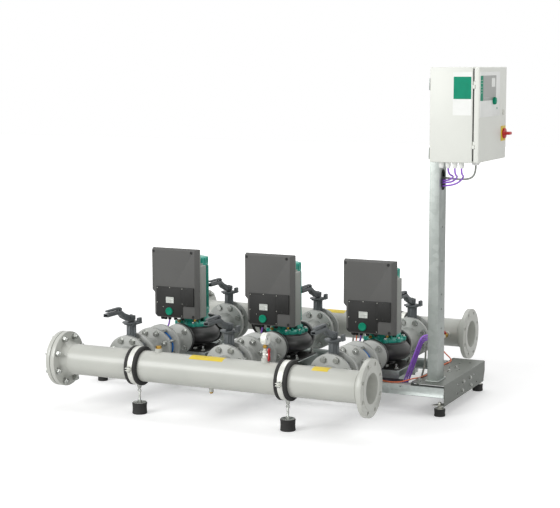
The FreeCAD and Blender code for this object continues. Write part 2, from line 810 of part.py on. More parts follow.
housing = box("housing", housingRight - housingLeft, d.housingDepth, d.housingTop - d.controllerLow,
              (housingLeft, coverBack, d.controllerLow))
node("controller_housings", (housing, pumpPlaces))
display = box("display", d.displayWidth, d.panelThick, d.displayHeight,
              (-d.displayLeft, frontY, d.displayLow))
node("controller_displays", (display, pumpPlaces))
knob = prism("knob", 16, d.knobOuter / 2, d.knobThick, (-d.knobShift, frontY - d.restGap, d.knobHeight), "-Y")
for number, place in enumerate(pumpPlaces, 1):
    node(f"controller_knob_{number}", (knob, [place]))


# Base frame: folded end plates with the deck, two rails on cross members, and the pump supports.
def endPlate(name, width):
    inner = d.deckHeight - d.sheetThick
    return padded(name, "XZ_Plane", [
        (0, d.endPlateLow), (0, d.deckHeight), (-width, d.deckHeight), (-width, inner),
        (-d.sheetThick, inner), (-d.sheetThick, d.endPlateLow)], d.baseDepth)


node("end_plates",
     (endPlate("deck_plate", d.deckWidth), [(spot(baseRight, baseRear, 0), "Z")]),
     (endPlate("far_plate", d.farDeckWidth), [(spot(baseLeft, baseFront, 0), "back")]))
railTop = d.railLow + d.railHeight
railInner = d.railDepth - d.sheetThick
rail = padded("rail", "YZ_Plane", [
    (0, d.railLow), (d.railDepth, d.railLow), (d.railDepth, d.railLow + d.railLip),
    (railInner, d.railLow + d.railLip), (railInner, d.railLow + d.sheetThick),
    (d.sheetThick, d.railLow + d.sheetThick), (d.sheetThick, railTop - d.sheetThick),
    (d.railDepth, railTop - d.sheetThick), (d.railDepth, railTop), (0, railTop)],
    baseRight - baseLeft - d.sheetThick * 2)
crossHalf = d.crossWidth / 2
crossInner = crossHalf - d.sheetThick
crossMember = padded("cross_member", "XZ_Plane", [
    (-crossHalf, d.crossLow), (-crossInner, d.crossLow), (-crossInner, d.railLow - d.sheetThick),
    (crossInner, d.railLow - d.sheetThick), (crossInner, d.crossLow), (crossHalf, d.crossLow),
    (crossHalf, d.railLow), (-crossHalf, d.railLow)], d.baseDepth)
node("base_rails",
     (rail, [(spot(baseLeft + d.sheetThick, baseFront, 0), "Z"),
             (spot(baseRight - d.sheetThick, baseRear, 0), "back")]),
     (crossMember, [(spot(x, baseRear, 0), "Z") for x in branchX]))
supportHalf = d.supportWidth / 2
supportInner = supportHalf - d.sheetThick
support = padded("pump_support", "YZ_Plane", [
    (-supportHalf, d.railLow), (-supportHalf, supportFace), (supportHalf, supportFace),
    (supportHalf, d.railLow), (supportInner, d.railLow), (supportInner, d.deckHeight),
    (-supportInner, d.deckHeight), (-supportInner, d.railLow)], d.supportLength)
node("pump_supports", (support, [(spot(x - d.supportLength / 2, yPump, 0), "Z") for x in branchX]))
plateLength = d.supportLength - d.pumpPlateEdge * 2
plateWidth = d.supportWidth - d.pumpPlateEdge * 2
pumpPlate = box("pump_plate", plateLength, plateWidth, d.pumpPlateThick,
                (-(plateLength / 2), -(plateWidth / 2), supportFace))
node("pump_plates", (pumpPlate, [(spot(x, yPump, 0), "Z") for x in branchX]))

# Cable duct: open channel along the cross members, for the supply lead and the three signal leads.
node("cable_duct", (cut(
    "duct",
    box("duct_channel", d.ductLength, d.ductWidth, d.ductHeight),
    box("duct_room", d.ductLength, d.ductWidth - d.ductWall * 2, d.ductHeight - d.ductWall,
        (0, d.ductWall, d.ductWall))), [(spot(-d.ductRight - d.ductLength, d.ductPlace, d.railLow), "Z")]))

# Manifold supports: rubber buffer, threaded rod, and a split clamp with a rubber inlay.
rubberOuter = pipeRadius + d.rubberThick
bandOuter = rubberOuter + d.bandThick
inlay = cut(
    "inlay",
    around("inlay_outer", 16, rubberOuter, d.clampWidth, (0, 0, -(d.clampWidth / 2))),
    around("inlay_bore", 16, pipeRadius + d.runningGap, d.clampWidth, (0, 0, -(d.clampWidth / 2))))
earSpan = bandOuter + d.earReach
band = cut(
    "band",
    fuse("band_blank",
         around("band_outer", 16, bandOuter, d.bandWidth, (0, 0, -(d.bandWidth / 2))),
         box("band_ears", d.earThick, earSpan * 2, d.bandWidth,
             (-(d.earThick / 2), -earSpan, -(d.bandWidth / 2)))),
    around("band_bore", 16, rubberOuter, d.bandWidth, (0, 0, -(d.bandWidth / 2))))
supportSpots = [(-d.clampRight, 0), (-d.clampLeft, 0), (-d.rearClampRight, yRear), (-d.rearClampLeft, yRear)]
clampPlaces = [(spot(x, y, d.axisHeight), "X") for x, y in supportSpots]
floorPlaces = [(spot(x, y, 0), "Z") for x, y in supportSpots]
node("clamp_inlays", (inlay, clampPlaces))
node("clamp_bands", (band, clampPlaces))
footSpots = [(x, y) for x in (baseRight - d.footInset, baseLeft + d.footInset)
             for y in (baseFront + d.footInsetDepth, baseRear - d.footInsetDepth)]
footPlaces = [(spot(x, y, 0), "Z") for x, y in footSpots]
node("rubber_feet",
     (prism("rubber_foot", 12, d.footOuter / 2, d.footHeight), footPlaces),
     (prism("buffer", 12, d.bufferOuter / 2, d.bufferHeight), floorPlaces))
rodTop = d.axisHeight - bandOuter / math.cos(math.pi / 16)
footPlates = []
for x in (baseRight - d.sheetThick - d.footPlate, baseLeft + d.sheetThick):
    for y in (baseFront, baseRear - d.footPlate):
        footPlates.append((spot(x, y, d.endPlateLow), "Z"))
node("foot_hardware",
     (prism("support_rod", 8, d.rodOuter / 2, rodTop - d.bufferHeight, (0, 0, d.bufferHeight)), floorPlaces),
     (prism("foot_stud", 8, d.studOuter / 2, d.endPlateLow - d.footHeight, (0, 0, d.footHeight)), footPlaces),
     (around("stud_nut", 6, d.studNut / 2, d.studNutThick, (0, 0, d.endPlateLow + d.sheetThick)), footPlaces),
     (box("foot_plate", d.footPlate, d.footPlate, d.sheetThick), footPlates))

# Column: square tube on a foot plate, with cable openings, and the cabinet's two brackets.
columnLow = d.deckHeight + d.columnPlateThick
columnLeft = d.columnFace - d.columnWidth
columnFront = d.columnPlace - d.columnDepth / 2
columnHeight = d.columnTop - columnLow
slotRun = d.slotHeight - d.slotWidth
wallDeep = d.columnWall + 2
column = cut(
    "column_open",
    box("column_tube", d.columnWidth, d.columnDepth, columnHeight, spot(columnLeft, columnFront, columnLow)),
    box("column_room", d.columnWidth - d.columnWall * 2, d.columnDepth - d.columnWall * 2, columnHeight,
        spot(columnLeft + d.columnWall, columnFront + d.columnWall, columnLow)),
    prism("slot_top", 12, d.slotWidth / 2, wallDeep,
          spot(d.columnFace - d.columnWall - 1, d.columnPlace, d.slotRise + slotRun / 2), "X"),
    prism("slot_bottom", 12, d.slotWidth / 2, wallDeep,
          spot(d.columnFace - d.columnWall - 1, d.columnPlace, d.slotRise - slotRun / 2), "X"),
    box("slot_middle", wallDeep, d.slotWidth, slotRun,
        spot(d.columnFace - d.columnWall - 1, d.columnPlace - d.slotWidth / 2, d.slotRise - slotRun / 2)),
    box("column_exit", wallDeep, d.exitWidth, d.exitHeight,
        spot(columnLeft - 1, d.columnPlace - d.exitWidth / 2, d.exitRise - d.exitHeight / 2)))
columnPlate = box("column_plate", d.columnWidth + d.columnPlateEdge * 2,
                  d.columnDepth + d.columnPlateEdge * 2, d.columnPlateThick,
                  spot(columnLeft - d.columnPlateEdge, columnFront - d.columnPlateEdge, d.deckHeight))
bracketRises = (d.cabinetLow + d.bracketInset, d.columnTop - d.bracketHeight)
brackets = [box("cabinet_bracket", d.bracketThick, d.cabinetWidth, d.bracketHeight,
                spot(d.columnFace, cabinetFront, z)) for z in bracketRises]
gather("column", [column, columnPlate] + brackets)

# Cabinet: shell with a rim, mounting tray and modules.
rimWall = d.rimInset + d.cabinetWall
shellRight = cabinetX + d.cabinetDepth
hingeX = shellRight + d.doorGap / 2
hingeY = cabinetFront + d.hingeWidth / 2
hingeRises = (d.cabinetLow + d.hingeInset, cabinetTop - d.hingeInset - d.hingeHeight)
leafHeight = d.hingeHeight / 2 - d.restGap
cabinetPieces = [
    box("cabinet_shell", d.cabinetDepth, d.cabinetWidth, d.cabinetHeight,
        spot(cabinetX, cabinetFront, d.cabinetLow)),
    box("cabinet_rim", d.rimDepth, d.cabinetWidth - d.rimInset * 2, d.cabinetHeight - d.rimInset * 2,
        spot(shellRight, cabinetFront + d.rimInset, d.cabinetLow + d.rimInset))]
for z in hingeRises:
    cabinetPieces.append(box("hinge_leaf", d.doorGap / 2, d.knuckleOuter, leafHeight,
                             spot(shellRight, hingeY - d.knuckleOuter / 2, z)))
    cabinetPieces.append(prism("hinge_barrel", 12, d.knuckleOuter / 2, leafHeight, spot(hingeX, hingeY, z)))
    cabinetPieces.append(prism("hinge_pin", 8, d.hingePin / 2, d.hingeHeight, spot(hingeX, hingeY, z)))
cabinet = cut(
    "cabinet",
    fuse("cabinet_blank", *cabinetPieces),
    box("cabinet_room", d.cabinetDepth - d.cabinetWall * 2, d.cabinetWidth - d.cabinetWall * 2,
        d.cabinetHeight - d.cabinetWall * 2,
        spot(cabinetX + d.cabinetWall, cabinetFront + d.cabinetWall, d.cabinetLow + d.cabinetWall)),
    box("cabinet_mouth", d.rimDepth + d.cabinetWall + 1, d.cabinetWidth - rimWall * 2,
        d.cabinetHeight - rimWall * 2,
        spot(shellRight - d.cabinetWall - 1, cabinetFront + rimWall, d.cabinetLow + rimWall)))
gather("cabinet_body", [cabinet])
trayX = cabinetX + d.cabinetWall
moduleX = trayX + d.trayThick
gather("cabinet_modules", [
    box("mounting_tray", d.trayThick, d.cabinetWidth - d.trayInset * 2, d.cabinetHeight - d.trayInset * 2,
        spot(trayX, cabinetFront + d.trayInset, d.cabinetLow + d.trayInset)),
    box("switch_module", 60, 70, 80, spot(moduleX, cabinetRear - 110, d.cabinetLow + 72)),
    box("breaker_row", 62, 160, 80, spot(moduleX, cabinetFront + 60, cabinetTop - 130)),
    box("control_module", 50, 190, 110, spot(moduleX, cabinetFront + 60, d.cabinetLow + 130)),
    box("terminal_row", 40, 200, 36, spot(moduleX, cabinetFront + 50, d.cabinetLow + 60))])

# Door: folded panel with knuckles on the hinge pins, operating panel, switch plate, lock and handles.
switchY = cabinetRear - d.switchFromEdge
switchZ = d.cabinetLow + d.switchHeight
lockY = cabinetRear - d.lockFromEdge
lockZ = d.cabinetLow + d.lockHeight
dialY = cabinetRear - d.dialFromEdge
dialZ = d.cabinetLow + d.dialHeight
doorPieces = [box("door_panel", d.doorThick, d.cabinetWidth, d.cabinetHeight,
                  spot(doorX, cabinetFront, d.cabinetLow))]
doorTools = [
    box("door_room", d.doorThick - d.cabinetWall, d.cabinetWidth - d.doorRim * 2,
        d.cabinetHeight - d.doorRim * 2,
        spot(doorX, cabinetFront + d.doorRim, d.cabinetLow + d.doorRim)),
    around("switch_hole", 12, d.switchShaft / 2 + d.runningGap, d.doorThick,
           spot(doorX, switchY, switchZ), "X"),
    around("lock_hole", 12, d.lockOuter / 2 + d.runningGap, d.doorThick, spot(doorX, lockY, lockZ), "X"),
    around("dial_hole", 12, d.dialShaft / 2 + d.runningGap, d.doorThick, spot(doorX, dialY, dialZ), "X")]
for z in hingeRises:
    upper = z + d.hingeHeight / 2 + d.restGap
    doorPieces.append(box("knuckle_arm", d.doorGap / 2, d.knuckleOuter, leafHeight,
                          spot(hingeX, hingeY - d.knuckleOuter / 2, upper)))
    doorPieces.append(prism("door_knuckle", 12, d.knuckleOuter / 2, leafHeight, spot(hingeX, hingeY, upper)))
    doorTools.append(around("knuckle_bore", 12, d.hingePin / 2 + d.runningGap, d.hingeHeight,
                            spot(hingeX, hingeY, z)))
door = cut("door", fuse("door_blank", *doorPieces), *doorTools)
fascia = cut(
    "fascia",
    box("fascia_plate", d.fasciaThick, d.fasciaWidth, d.fasciaHeight,
        spot(doorFace, cabinetFront + d.fasciaEdge, cabinetTop - d.fasciaTop - d.fasciaHeight)),
    around("fascia_hole", 12, d.dialShaft / 2 + d.runningGap, d.fasciaThick,
           spot(doorFace, dialY, dialZ), "X"))
switchPlate = cut(
    "switch_plate",
    box("switch_plate_blank", d.fasciaThick, d.switchPlate, d.switchPlate,
        spot(doorFace, switchY - d.switchPlate / 2, switchZ - d.switchPlate / 2)),
    around("plate_bore", 12, d.switchShaft / 2 + d.runningGap, d.fasciaThick,
           spot(doorFace, switchY, switchZ), "X"))
gather("cabinet_door", [door, fascia, switchPlate])
handleX = doorFace + d.fasciaThick + d.restGap
gather("main_switch_handle", [fuse(
    "switch_handle",
    prism("handle_disc", 16, d.switchOuter / 2, 10, spot(handleX, switchY, switchZ), "X"),
    box("handle_bar", d.switchReach - d.restGap, d.switchOuter - 4, 14,
        spot(handleX, switchY - d.switchOuter / 2 + 2, switchZ - 7)),
    prism("handle_shaft", 12, d.switchShaft / 2, d.doorThick + d.fasciaThick + d.restGap,
          spot(doorX, switchY, switchZ), "X"))])
gather("door_lock", [fuse(
    "lock",
    prism("lock_barrel", 12, d.lockOuter / 2, d.doorThick + 3, spot(doorX, lockY, lockZ), "X"),
    box("lock_cam", 3, d.lockCam, 14, spot(doorX, lockY - 8, lockZ - 7)))])
gather("operating_dial", [fuse(
    "dial",
    prism("dial_knob", 16, d.dialOuter / 2, d.dialThick, spot(handleX, dialY, dialZ), "X"),
    prism("dial_shaft", 12, d.dialShaft / 2, d.fasciaThick + d.restGap, spot(doorFace, dialY, dialZ), "X"))])

# Cable glands under the cabinet: a row of small ones and a large one for the supply.
glandZ = d.cabinetLow - d.glandLength
glandY = cabinetFront + d.glandRow
glandX = [cabinetX + d.glandStart + d.glandPitch * number for number in range(4)]
largeX = cabinetX + d.largeGlandReach
largeY = cabinetFront + d.largeGlandRow
glands = [around("gland", 6, d.glandAcross / 2, d.glandLength, spot(x, glandY, glandZ)) for x in glandX]
glands.append(around("large_gland", 6, d.largeGlandAcross / 2, d.glandLength, spot(largeX, largeY, glandZ)))
gather("cable_glands", glands)

# Tapping plug, gauge on its cock, and pressure sensor on its cock.
socketTop = d.axisHeight + pipeRadius + d.socketHeight
cockY = yRear - pipeRadius - d.socketHeight
cockHalf = d.cockOuter / 2
pinReach = cockHalf + d.restGap
gather("brass_fittings", [
    around("plug", 6, d.plugAcross / 2, d.plugHeight, spot(-d.plugPlace, 0, socketTop)),
    prism("gauge_cock", 12, cockHalf, d.cockLength, spot(-d.gaugePlace, 0, socketTop)),
    prism("sensor_cock", 12, cockHalf, d.cockLength, spot(-d.sensorPlace, cockY, d.axisHeight), "-Y")])
gaugeZ = d.axisHeight + d.gaugeRise
stemLow = socketTop + d.cockLength
gaugeX = -d.gaugePlace - d.gaugeThick / 2
gauge = fuse(
    "gauge",
    prism("gauge_drum", 16, d.gaugeOuter / 2, d.gaugeThick, spot(gaugeX, 0, gaugeZ), "X"),
    prism("gauge_stem", 8, d.gaugeStem / 2, gaugeZ - stemLow, spot(-d.gaugePlace, 0, stemLow)))
sensor = prism("sensor", 12, d.sensorOuter / 2, d.sensorLength,
               spot(-d.sensorPlace, cockY - d.cockLength, d.axisHeight), "-Y")
gather("instruments", [gauge, sensor])
pointerX = gaugeX + d.gaugeThick + d.restGap
gather("gauge_pointer", [
    box("pointer", d.pointerThick, 3, d.gaugeOuter / 2, spot(pointerX, -1.5, gaugeZ - 5))])
gaugeCockZ = socketTop + d.cockLength / 2
leverReach = d.socketOuter / 2 + d.gaugeLeverClear
# The gauge cock's lever has two wings on a pin, and stands beside the socket while the cock is open.
gather("gauge_cock_lever", [fuse(
    "gauge_lever",
    prism("gauge_lever_pin", 8, d.cockPin / 2, leverReach - pinReach,
          spot(-d.gaugePlace + pinReach, 0, gaugeCockZ), "X"),
    box("gauge_lever_wings", d.cockLeverThick, d.gaugeLeverWidth, d.gaugeLever,
        spot(-d.gaugePlace + leverReach, -(d.gaugeLeverWidth / 2), gaugeCockZ - d.gaugeLever / 2)))])
sensorCockY = cockY - d.cockLength / 2
gather("sensor_cock_lever", [box(
    "sensor_lever", d.cockLeverWidth, d.cockLever, d.cockLeverThick,
    spot(-d.sensorPlace - d.cockLeverWidth / 2, sensorCockY + d.cockLeverWidth / 2 - d.cockLever,
         d.axisHeight + pinReach))])


# A lead follows its points with arcs as large as its runs allow; its section is a square.
def lead(name, outer, points):
    corners = [Vector(*(float(value) for value in point)) for point in points]
    edges = []
    radii = []
    start = corners[0]
    for index in range(1, len(corners) - 1):
        before = corners[index - 1] - corners[index]
        after = corners[index + 1] - corners[index]
        short = min(before.Length, after.Length) * 0.45
        before.normalize()
        after.normalize()
        turn = math.pi - before.getAngle(after)
        radius = short / math.tan(turn / 2)
        first = corners[index] + before * short
        last = corners[index] + after * short
        inward = (before + after).normalize()
        middle = corners[index] + inward * (radius / math.cos(turn / 2) - radius)
        edges.append(Part.LineSegment(start, first).toShape())
        edges.append(Part.Arc(first, middle, last).toShape())
        radii.append(round(radius))
        start = last
    edges.append(Part.LineSegment(start, corners[-1]).toShape())
    path = Part.Wire(edges)
    along = (corners[1] - corners[0]).normalize()
    side = along.cross(Vector(1, 0, 0)).normalize()
    up = along.cross(side).normalize()
    ring = []
    for step in range(4):
        angle = math.radians(90 * step + 45)
        across = side * (float(outer) / 2 * math.cos(angle)) + up * (float(outer) / 2 * math.sin(angle))
        ring.append(corners[0] + across)
    section = Part.makePolygon(ring + [ring[0]])
    thing = doc.addObject("Part::Feature", name)
    thing.Shape = path.makePipeShell([section], True, False)
    area = 2 * (float(outer) / 2) ** 2
    print(name, "radii", radii, "volume ratio", round(thing.Shape.Volume / (area * path.Length), 4))
    return thing


# Signal leads: gland, loop, slot, down the column, out at its exit, along the tray and up to the controllers.
trayZ = d.railLow + d.leadOuter
controllerLow = d.axisHeight + d.controllerLow
housingY = yPump - 145
slotY = d.columnPlace - 10
loops = [
    [(192, 468, 1078), (143, 542, 1055), (112, 580, 1050)],
    [(208, 468, 1077), (160, 540, 1048), (114, 580, 1040)],
    [(236, 468, 1079), (192, 524, 1046), (150, 560, 1032), (113, 581, 1026)]]
signalLeads = []
for number, x in enumerate(branchX):
    startX = glandX[number + 1]
    lane = 652 + 10 * number
    slotZ = d.slotRise + (-3, -13, -27)[number]
    innerX = columnLeft + 8 + 9 * number
    exitZ = d.exitRise + 12 - 10 * number
    points = [spot(startX, glandY, glandZ), spot(startX, glandY, glandZ - 26)]
    points += [spot(*point) for point in loops[number]]
    points += [
        spot(innerX, slotY, slotZ), spot(innerX, slotY, exitZ),
        spot(columnLeft - 36, slotY - 13 + 13 * number, exitZ - 6),
        spot(-106 + 8 * number, lane, trayZ), spot(x - 102, lane, trayZ),
        spot(x - 98, lane, controllerLow - 78), spot(x - 62, housingY, controllerLow - 44),
        spot(x - 62, housingY, controllerLow)]
    signalLeads.append(lead(f"signal_lead_{number + 1}", d.leadOuter, points))
gather("signal_leads", signalLeads)

# Supply lead from the large gland by the same way to the nearest controller.
nearX = branchX[2]
supplyX = columnLeft + 28
supplyZ = trayZ + 3
gather("supply_lead", [lead("supply", d.supplyOuter, [
    spot(largeX, largeY, glandZ), spot(largeX, largeY, glandZ - 34), spot(216, 622, 1056),
    spot(162, 604, 1054), spot(114, 600, 1060), spot(supplyX - 16, 600, 1062),
    spot(supplyX, 612, d.exitRise - 12),
    spot(columnLeft - 34, 616, d.exitRise - 22), spot(-4, 680, 200), spot(-40, 682, 80),
    spot(-84, 664, trayZ + 11), spot(-110, 638, supplyZ),
    spot(nearX - 122, 636, supplyZ), spot(nearX - 116, 640, controllerLow - 88),
    spot(nearX - 100, housingY, controllerLow - 50), spot(nearX - 100, housingY, controllerLow)])])

# Sensor lead: over the deck's inner edge, along the front rail and up to the nearest controller.
deckZ = d.deckHeight + d.sensorLead / 2 + d.restGap
railZ = railTop + d.sensorLead / 2 + d.restGap
sensorEnd = cockY - d.cockLength - d.sensorLength
gather("sensor_lead", [lead("sensor_wire", d.sensorLead, [
    spot(-d.sensorPlace, sensorEnd, d.axisHeight), spot(-d.sensorPlace, sensorEnd - 34, d.axisHeight),
    spot(-62, 1096, 172), spot(-6, 1054, deckZ), spot(14, 990, deckZ), spot(2, 900, deckZ),
    spot(10, 760, deckZ),
    spot(8, 650, deckZ), spot(0, 596, deckZ), spot(-24, 556, deckZ), spot(-62, 526, railZ + 3),
    spot(-104, 514, railZ), spot(-148, 519, railZ), spot(-188, 552, railZ + 2), spot(-222, 590, 112),
    spot(-268, 612, supplyZ), spot(nearX - 92, 616, supplyZ), spot(nearX - 92, 624, controllerLow - 82),
    spot(nearX - 82, housingY - 4, controllerLow - 46), spot(nearX - 82, housingY - 4, controllerLow)])])

doc.recompute()

faults = []
for thing in doc.Objects:
    if "Invalid" in thing.State or "Error" in thing.State:
        faults.append(f"{thing.Name}: {thing.State}")
for thing in nodes:
    if thing.Shape.isNull() or not thing.Shape.isValid():
        faults.append(f"{thing.Label}: shape")
if faults:
    raise RuntimeError("; ".join(faults))

os.makedirs("parts", exist_ok=True)
for thing in nodes:
    thing.Shape.exportStep(f"parts/{thing.Label}.step")
    print(thing.Label, len(thing.Shape.Solids), "solids")
print(len(nodes), "nodes")
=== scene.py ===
import math

import bmesh
import bpy
from mathutils import Matrix, Vector


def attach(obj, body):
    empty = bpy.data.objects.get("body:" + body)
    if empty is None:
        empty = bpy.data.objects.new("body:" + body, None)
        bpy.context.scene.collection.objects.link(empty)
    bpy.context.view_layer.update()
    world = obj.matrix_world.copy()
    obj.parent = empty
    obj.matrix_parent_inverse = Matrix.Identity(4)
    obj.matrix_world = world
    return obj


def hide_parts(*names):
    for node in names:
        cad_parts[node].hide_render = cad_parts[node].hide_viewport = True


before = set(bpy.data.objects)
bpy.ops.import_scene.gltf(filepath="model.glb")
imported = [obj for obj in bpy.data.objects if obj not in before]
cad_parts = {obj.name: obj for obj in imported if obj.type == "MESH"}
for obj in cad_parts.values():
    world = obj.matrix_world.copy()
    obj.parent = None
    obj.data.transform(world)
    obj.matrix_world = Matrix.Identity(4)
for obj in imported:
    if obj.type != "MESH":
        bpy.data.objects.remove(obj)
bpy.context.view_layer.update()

# where things stand, in metres, as in the frame
layout = {"pumpX": (-0.6145, -0.1045, 0.4055), "pumpY": 0.120, "headerY": 0.675, "valveY": 0.495,
    "axisZ": 0.220}
pumpY, headerY, valveY, axisZ = (layout[key] for key in ("pumpY", "headerY", "valveY", "axisZ"))
quarterTurn = math.pi / 2
towardX = (0, quarterTurn, 0)
towardY = (-quarterTurn, 0, 0)
awayY = (quarterTurn, 0, 0)


# mesh tools
def deselectAll():
    bpy.ops.object.select_all(action="DESELECT")


def activate(piece):
    deselectAll()
    piece.select_set(True)
    bpy.context.view_layer.objects.active = piece


def place(piece, spot=(0, 0, 0), turn=(0, 0, 0)):
    piece.rotation_euler = turn
    piece.location = spot
    activate(piece)
    bpy.ops.object.transform_apply(location=True, rotation=True, scale=True)
    return piece


def applyChanges(piece):
    activate(piece)
    for change in list(piece.modifiers):
        bpy.ops.object.modifier_apply(modifier=change.name)
    return piece


# edges sharper than the angle rounded off
def rounded(piece, width, segments=2, angle=30):
    change = piece.modifiers.new("edges", "BEVEL")
    change.width = width
    change.segments = segments
    change.limit_method = "ANGLE"
    change.angle_limit = math.radians(angle)
    return applyChanges(piece)


def smoothed(piece, angle=35):
    activate(piece)
    bpy.ops.object.shade_smooth_by_angle(angle=math.radians(angle))
    return piece


def finished(piece, width, segments=2, angle=30):
    return smoothed(rounded(piece, width, segments, angle))


def cutAway(piece, cutter):
    change = piece.modifiers.new("cut", "BOOLEAN")
    change.operation = "DIFFERENCE"
    change.object = cutter
    applyChanges(piece)
    bpy.data.objects.remove(cutter)
    return piece


def joined(name, pieces):
    activate(pieces[0])
    for piece in pieces:
        piece.select_set(True)
    if len(pieces) > 1:
        bpy.ops.object.join()
    whole = bpy.context.view_layer.objects.active
    whole.name = name
    return whole


def copyOf(model, spot=(0, 0, 0), turn=(0, 0, 0)):
    twin = model.copy()
    twin.data = model.data.copy()
    bpy.context.collection.objects.link(twin)
    return place(twin, spot, turn)


# one model, set down at each spot and joined, and the model itself taken away
def repeated(name, model, spots, turn=(0, 0, 0)):
    twins = [copyOf(model, spot, turn) for spot in spots]
    bpy.data.objects.remove(model)
    return joined(name, twins)


# the shape just added: named, its place applied, and open in edit mode with all of it selected
def opened(name):
    piece = bpy.context.object
    piece.name = name
    bpy.ops.object.transform_apply(location=True)
    bpy.ops.object.mode_set(mode="EDIT")
    bpy.ops.mesh.select_all(action="SELECT")
    return piece


def closed(piece):
    bpy.ops.mesh.select_all(action="SELECT")
    bpy.ops.mesh.normals_make_consistent(inside=False)
    bpy.ops.object.mode_set(mode="OBJECT")
    return piece


# a ring of edges drawn out and scaled from one (radius, height) to the next, as on a lathe; with ring,
# the outline runs back to its first point and the piece is hollow
def turned(name, sides, profile, ring=False):
    deselectAll()
    radius, height = profile[0]
    bpy.ops.mesh.primitive_circle_add(vertices=sides, radius=radius, location=(0, 0, height))
    piece = opened(name)
    for nextRadius, nextHeight in profile[1:] + (profile[:1] if ring else []):
        bpy.ops.mesh.extrude_region_move(TRANSFORM_OT_translate={"value": (0, 0, nextHeight - height)})
        scale = nextRadius / radius
        bpy.ops.transform.resize(value=(scale, scale, 1), center_override=(0, 0, nextHeight))
        radius, height = nextRadius, nextHeight
    bpy.ops.mesh.select_all(action="SELECT")
    if ring:
        bpy.ops.mesh.remove_doubles(threshold=0.00001)
    else:
        bpy.ops.mesh.fill_holes(sides=0)
    return closed(piece)


# a plain ring, bored through
def tube(name, bore, outer, low, high, sides=64):
    return turned(name, sides, [(bore, low), (outer, low), (outer, high), (bore, high)], ring=True)


# one point drawn along an outline in the XY plane, filled, and pulled up to its thickness
def outlined(name, corners, thickness):
    deselectAll()
    x, y = corners[0]
    bpy.ops.mesh.primitive_plane_add(size=0.001, location=(x, y, 0))
    piece = opened(name)
    bpy.ops.mesh.merge(type="CENTER")
    for nextX, nextY in corners[1:]:
        step = (nextX - x, nextY - y, 0)
        bpy.ops.mesh.extrude_vertices_move(TRANSFORM_OT_translate={"value": step})
        x, y = nextX, nextY
    bpy.ops.mesh.select_all(action="SELECT")
    bpy.ops.mesh.edge_face_add()
    bpy.ops.mesh.extrude_region_move(TRANSFORM_OT_translate={"value": (0, 0, thickness)})
    return closed(piece)


def block(name, low, high, edge=0.0):
    deselectAll()
    middle = [(a + b) / 2 for a, b in zip(low, high)]
    size = [b - a for a, b in zip(low, high)]
    bpy.ops.mesh.primitive_cube_add(size=1, location=middle, scale=size)
    piece = bpy.context.object
    piece.name = name
    bpy.ops.object.transform_apply(location=True, scale=True)
    if edge:
        rounded(piece, edge)
    return piece


def rod(name, radius, start, end, sides=32, edge=0.0):
    start, end = Vector(start), Vector(end)
    along = end - start
    length = along.length
    profile = [(radius - edge, 0), (radius, edge), (radius, length - edge), (radius - edge, length)]
    if not edge:
        profile = [(radius, 0), (radius, length)]
    piece = turned(name, sides, profile)
    piece.rotation_mode = "QUATERNION"
    piece.rotation_quaternion = along.to_track_quat("Z", "Y")
    piece.location = start
    activate(piece)
    bpy.ops.object.transform_apply(location=True, rotation=True)
    piece.rotation_mode = "XYZ"
    return piece


# the faces of the mesh in edit mode that pass a test of their middle and direction
def pickFaces(test):
    bpy.ops.mesh.select_mode(type="FACE")
    bpy.ops.mesh.select_all(action="DESELECT")
    mesh = bmesh.from_edit_mesh(bpy.context.edit_object.data)
    for face in mesh.faces:
        face.select_set(test(face.calc_center_median(), face.normal))
    bmesh.update_edit_mesh(bpy.context.edit_object.data)


# the same for its points, by where they are
def pickPoints(test):
    bpy.ops.mesh.select_mode(type="VERT")
    bpy.ops.mesh.select_all(action="DESELECT")
    mesh = bmesh.from_edit_mesh(bpy.context.edit_object.data)
    for point in mesh.verts:
        point.select_set(test(point.co))
    mesh.select_flush_mode()
    bmesh.update_edit_mesh(bpy.context.edit_object.data)


# the camera stands where the photograph was taken
cameraLook = {"spot": (2.82157, -6.17642, 1.5665), "turn": 25.20, "tilt": 7.53, "roll": -0.13, "lens": 92.94}


def makeCamera():
    data = bpy.data.cameras.new("camera")
    data.lens = cameraLook["lens"]
    data.sensor_width = 36
    data.clip_end = 60
    camera = bpy.data.objects.new("camera", data)
    bpy.context.collection.objects.link(camera)
    around = Matrix.Rotation(math.radians(cameraLook["turn"]), 4, "Z")
    upward = Matrix.Rotation(math.radians(90 - cameraLook["tilt"]), 4, "X")
    lean = Matrix.Rotation(math.radians(cameraLook["roll"]), 4, "Z")
    camera.matrix_world = Matrix.Translation(cameraLook["spot"]) @ around @ upward @ lean
    bpy.context.scene.camera = camera


makeCamera()
print("camera set")


# a shade from 0 to 255 as Blender's linear colour
def linear(shade):
    values = [value / 255 for value in shade]
    return [v / 12.92 if v <= 0.04045 else ((v + 0.055) / 1.055) ** 2.4 for v in values] + [1.0]


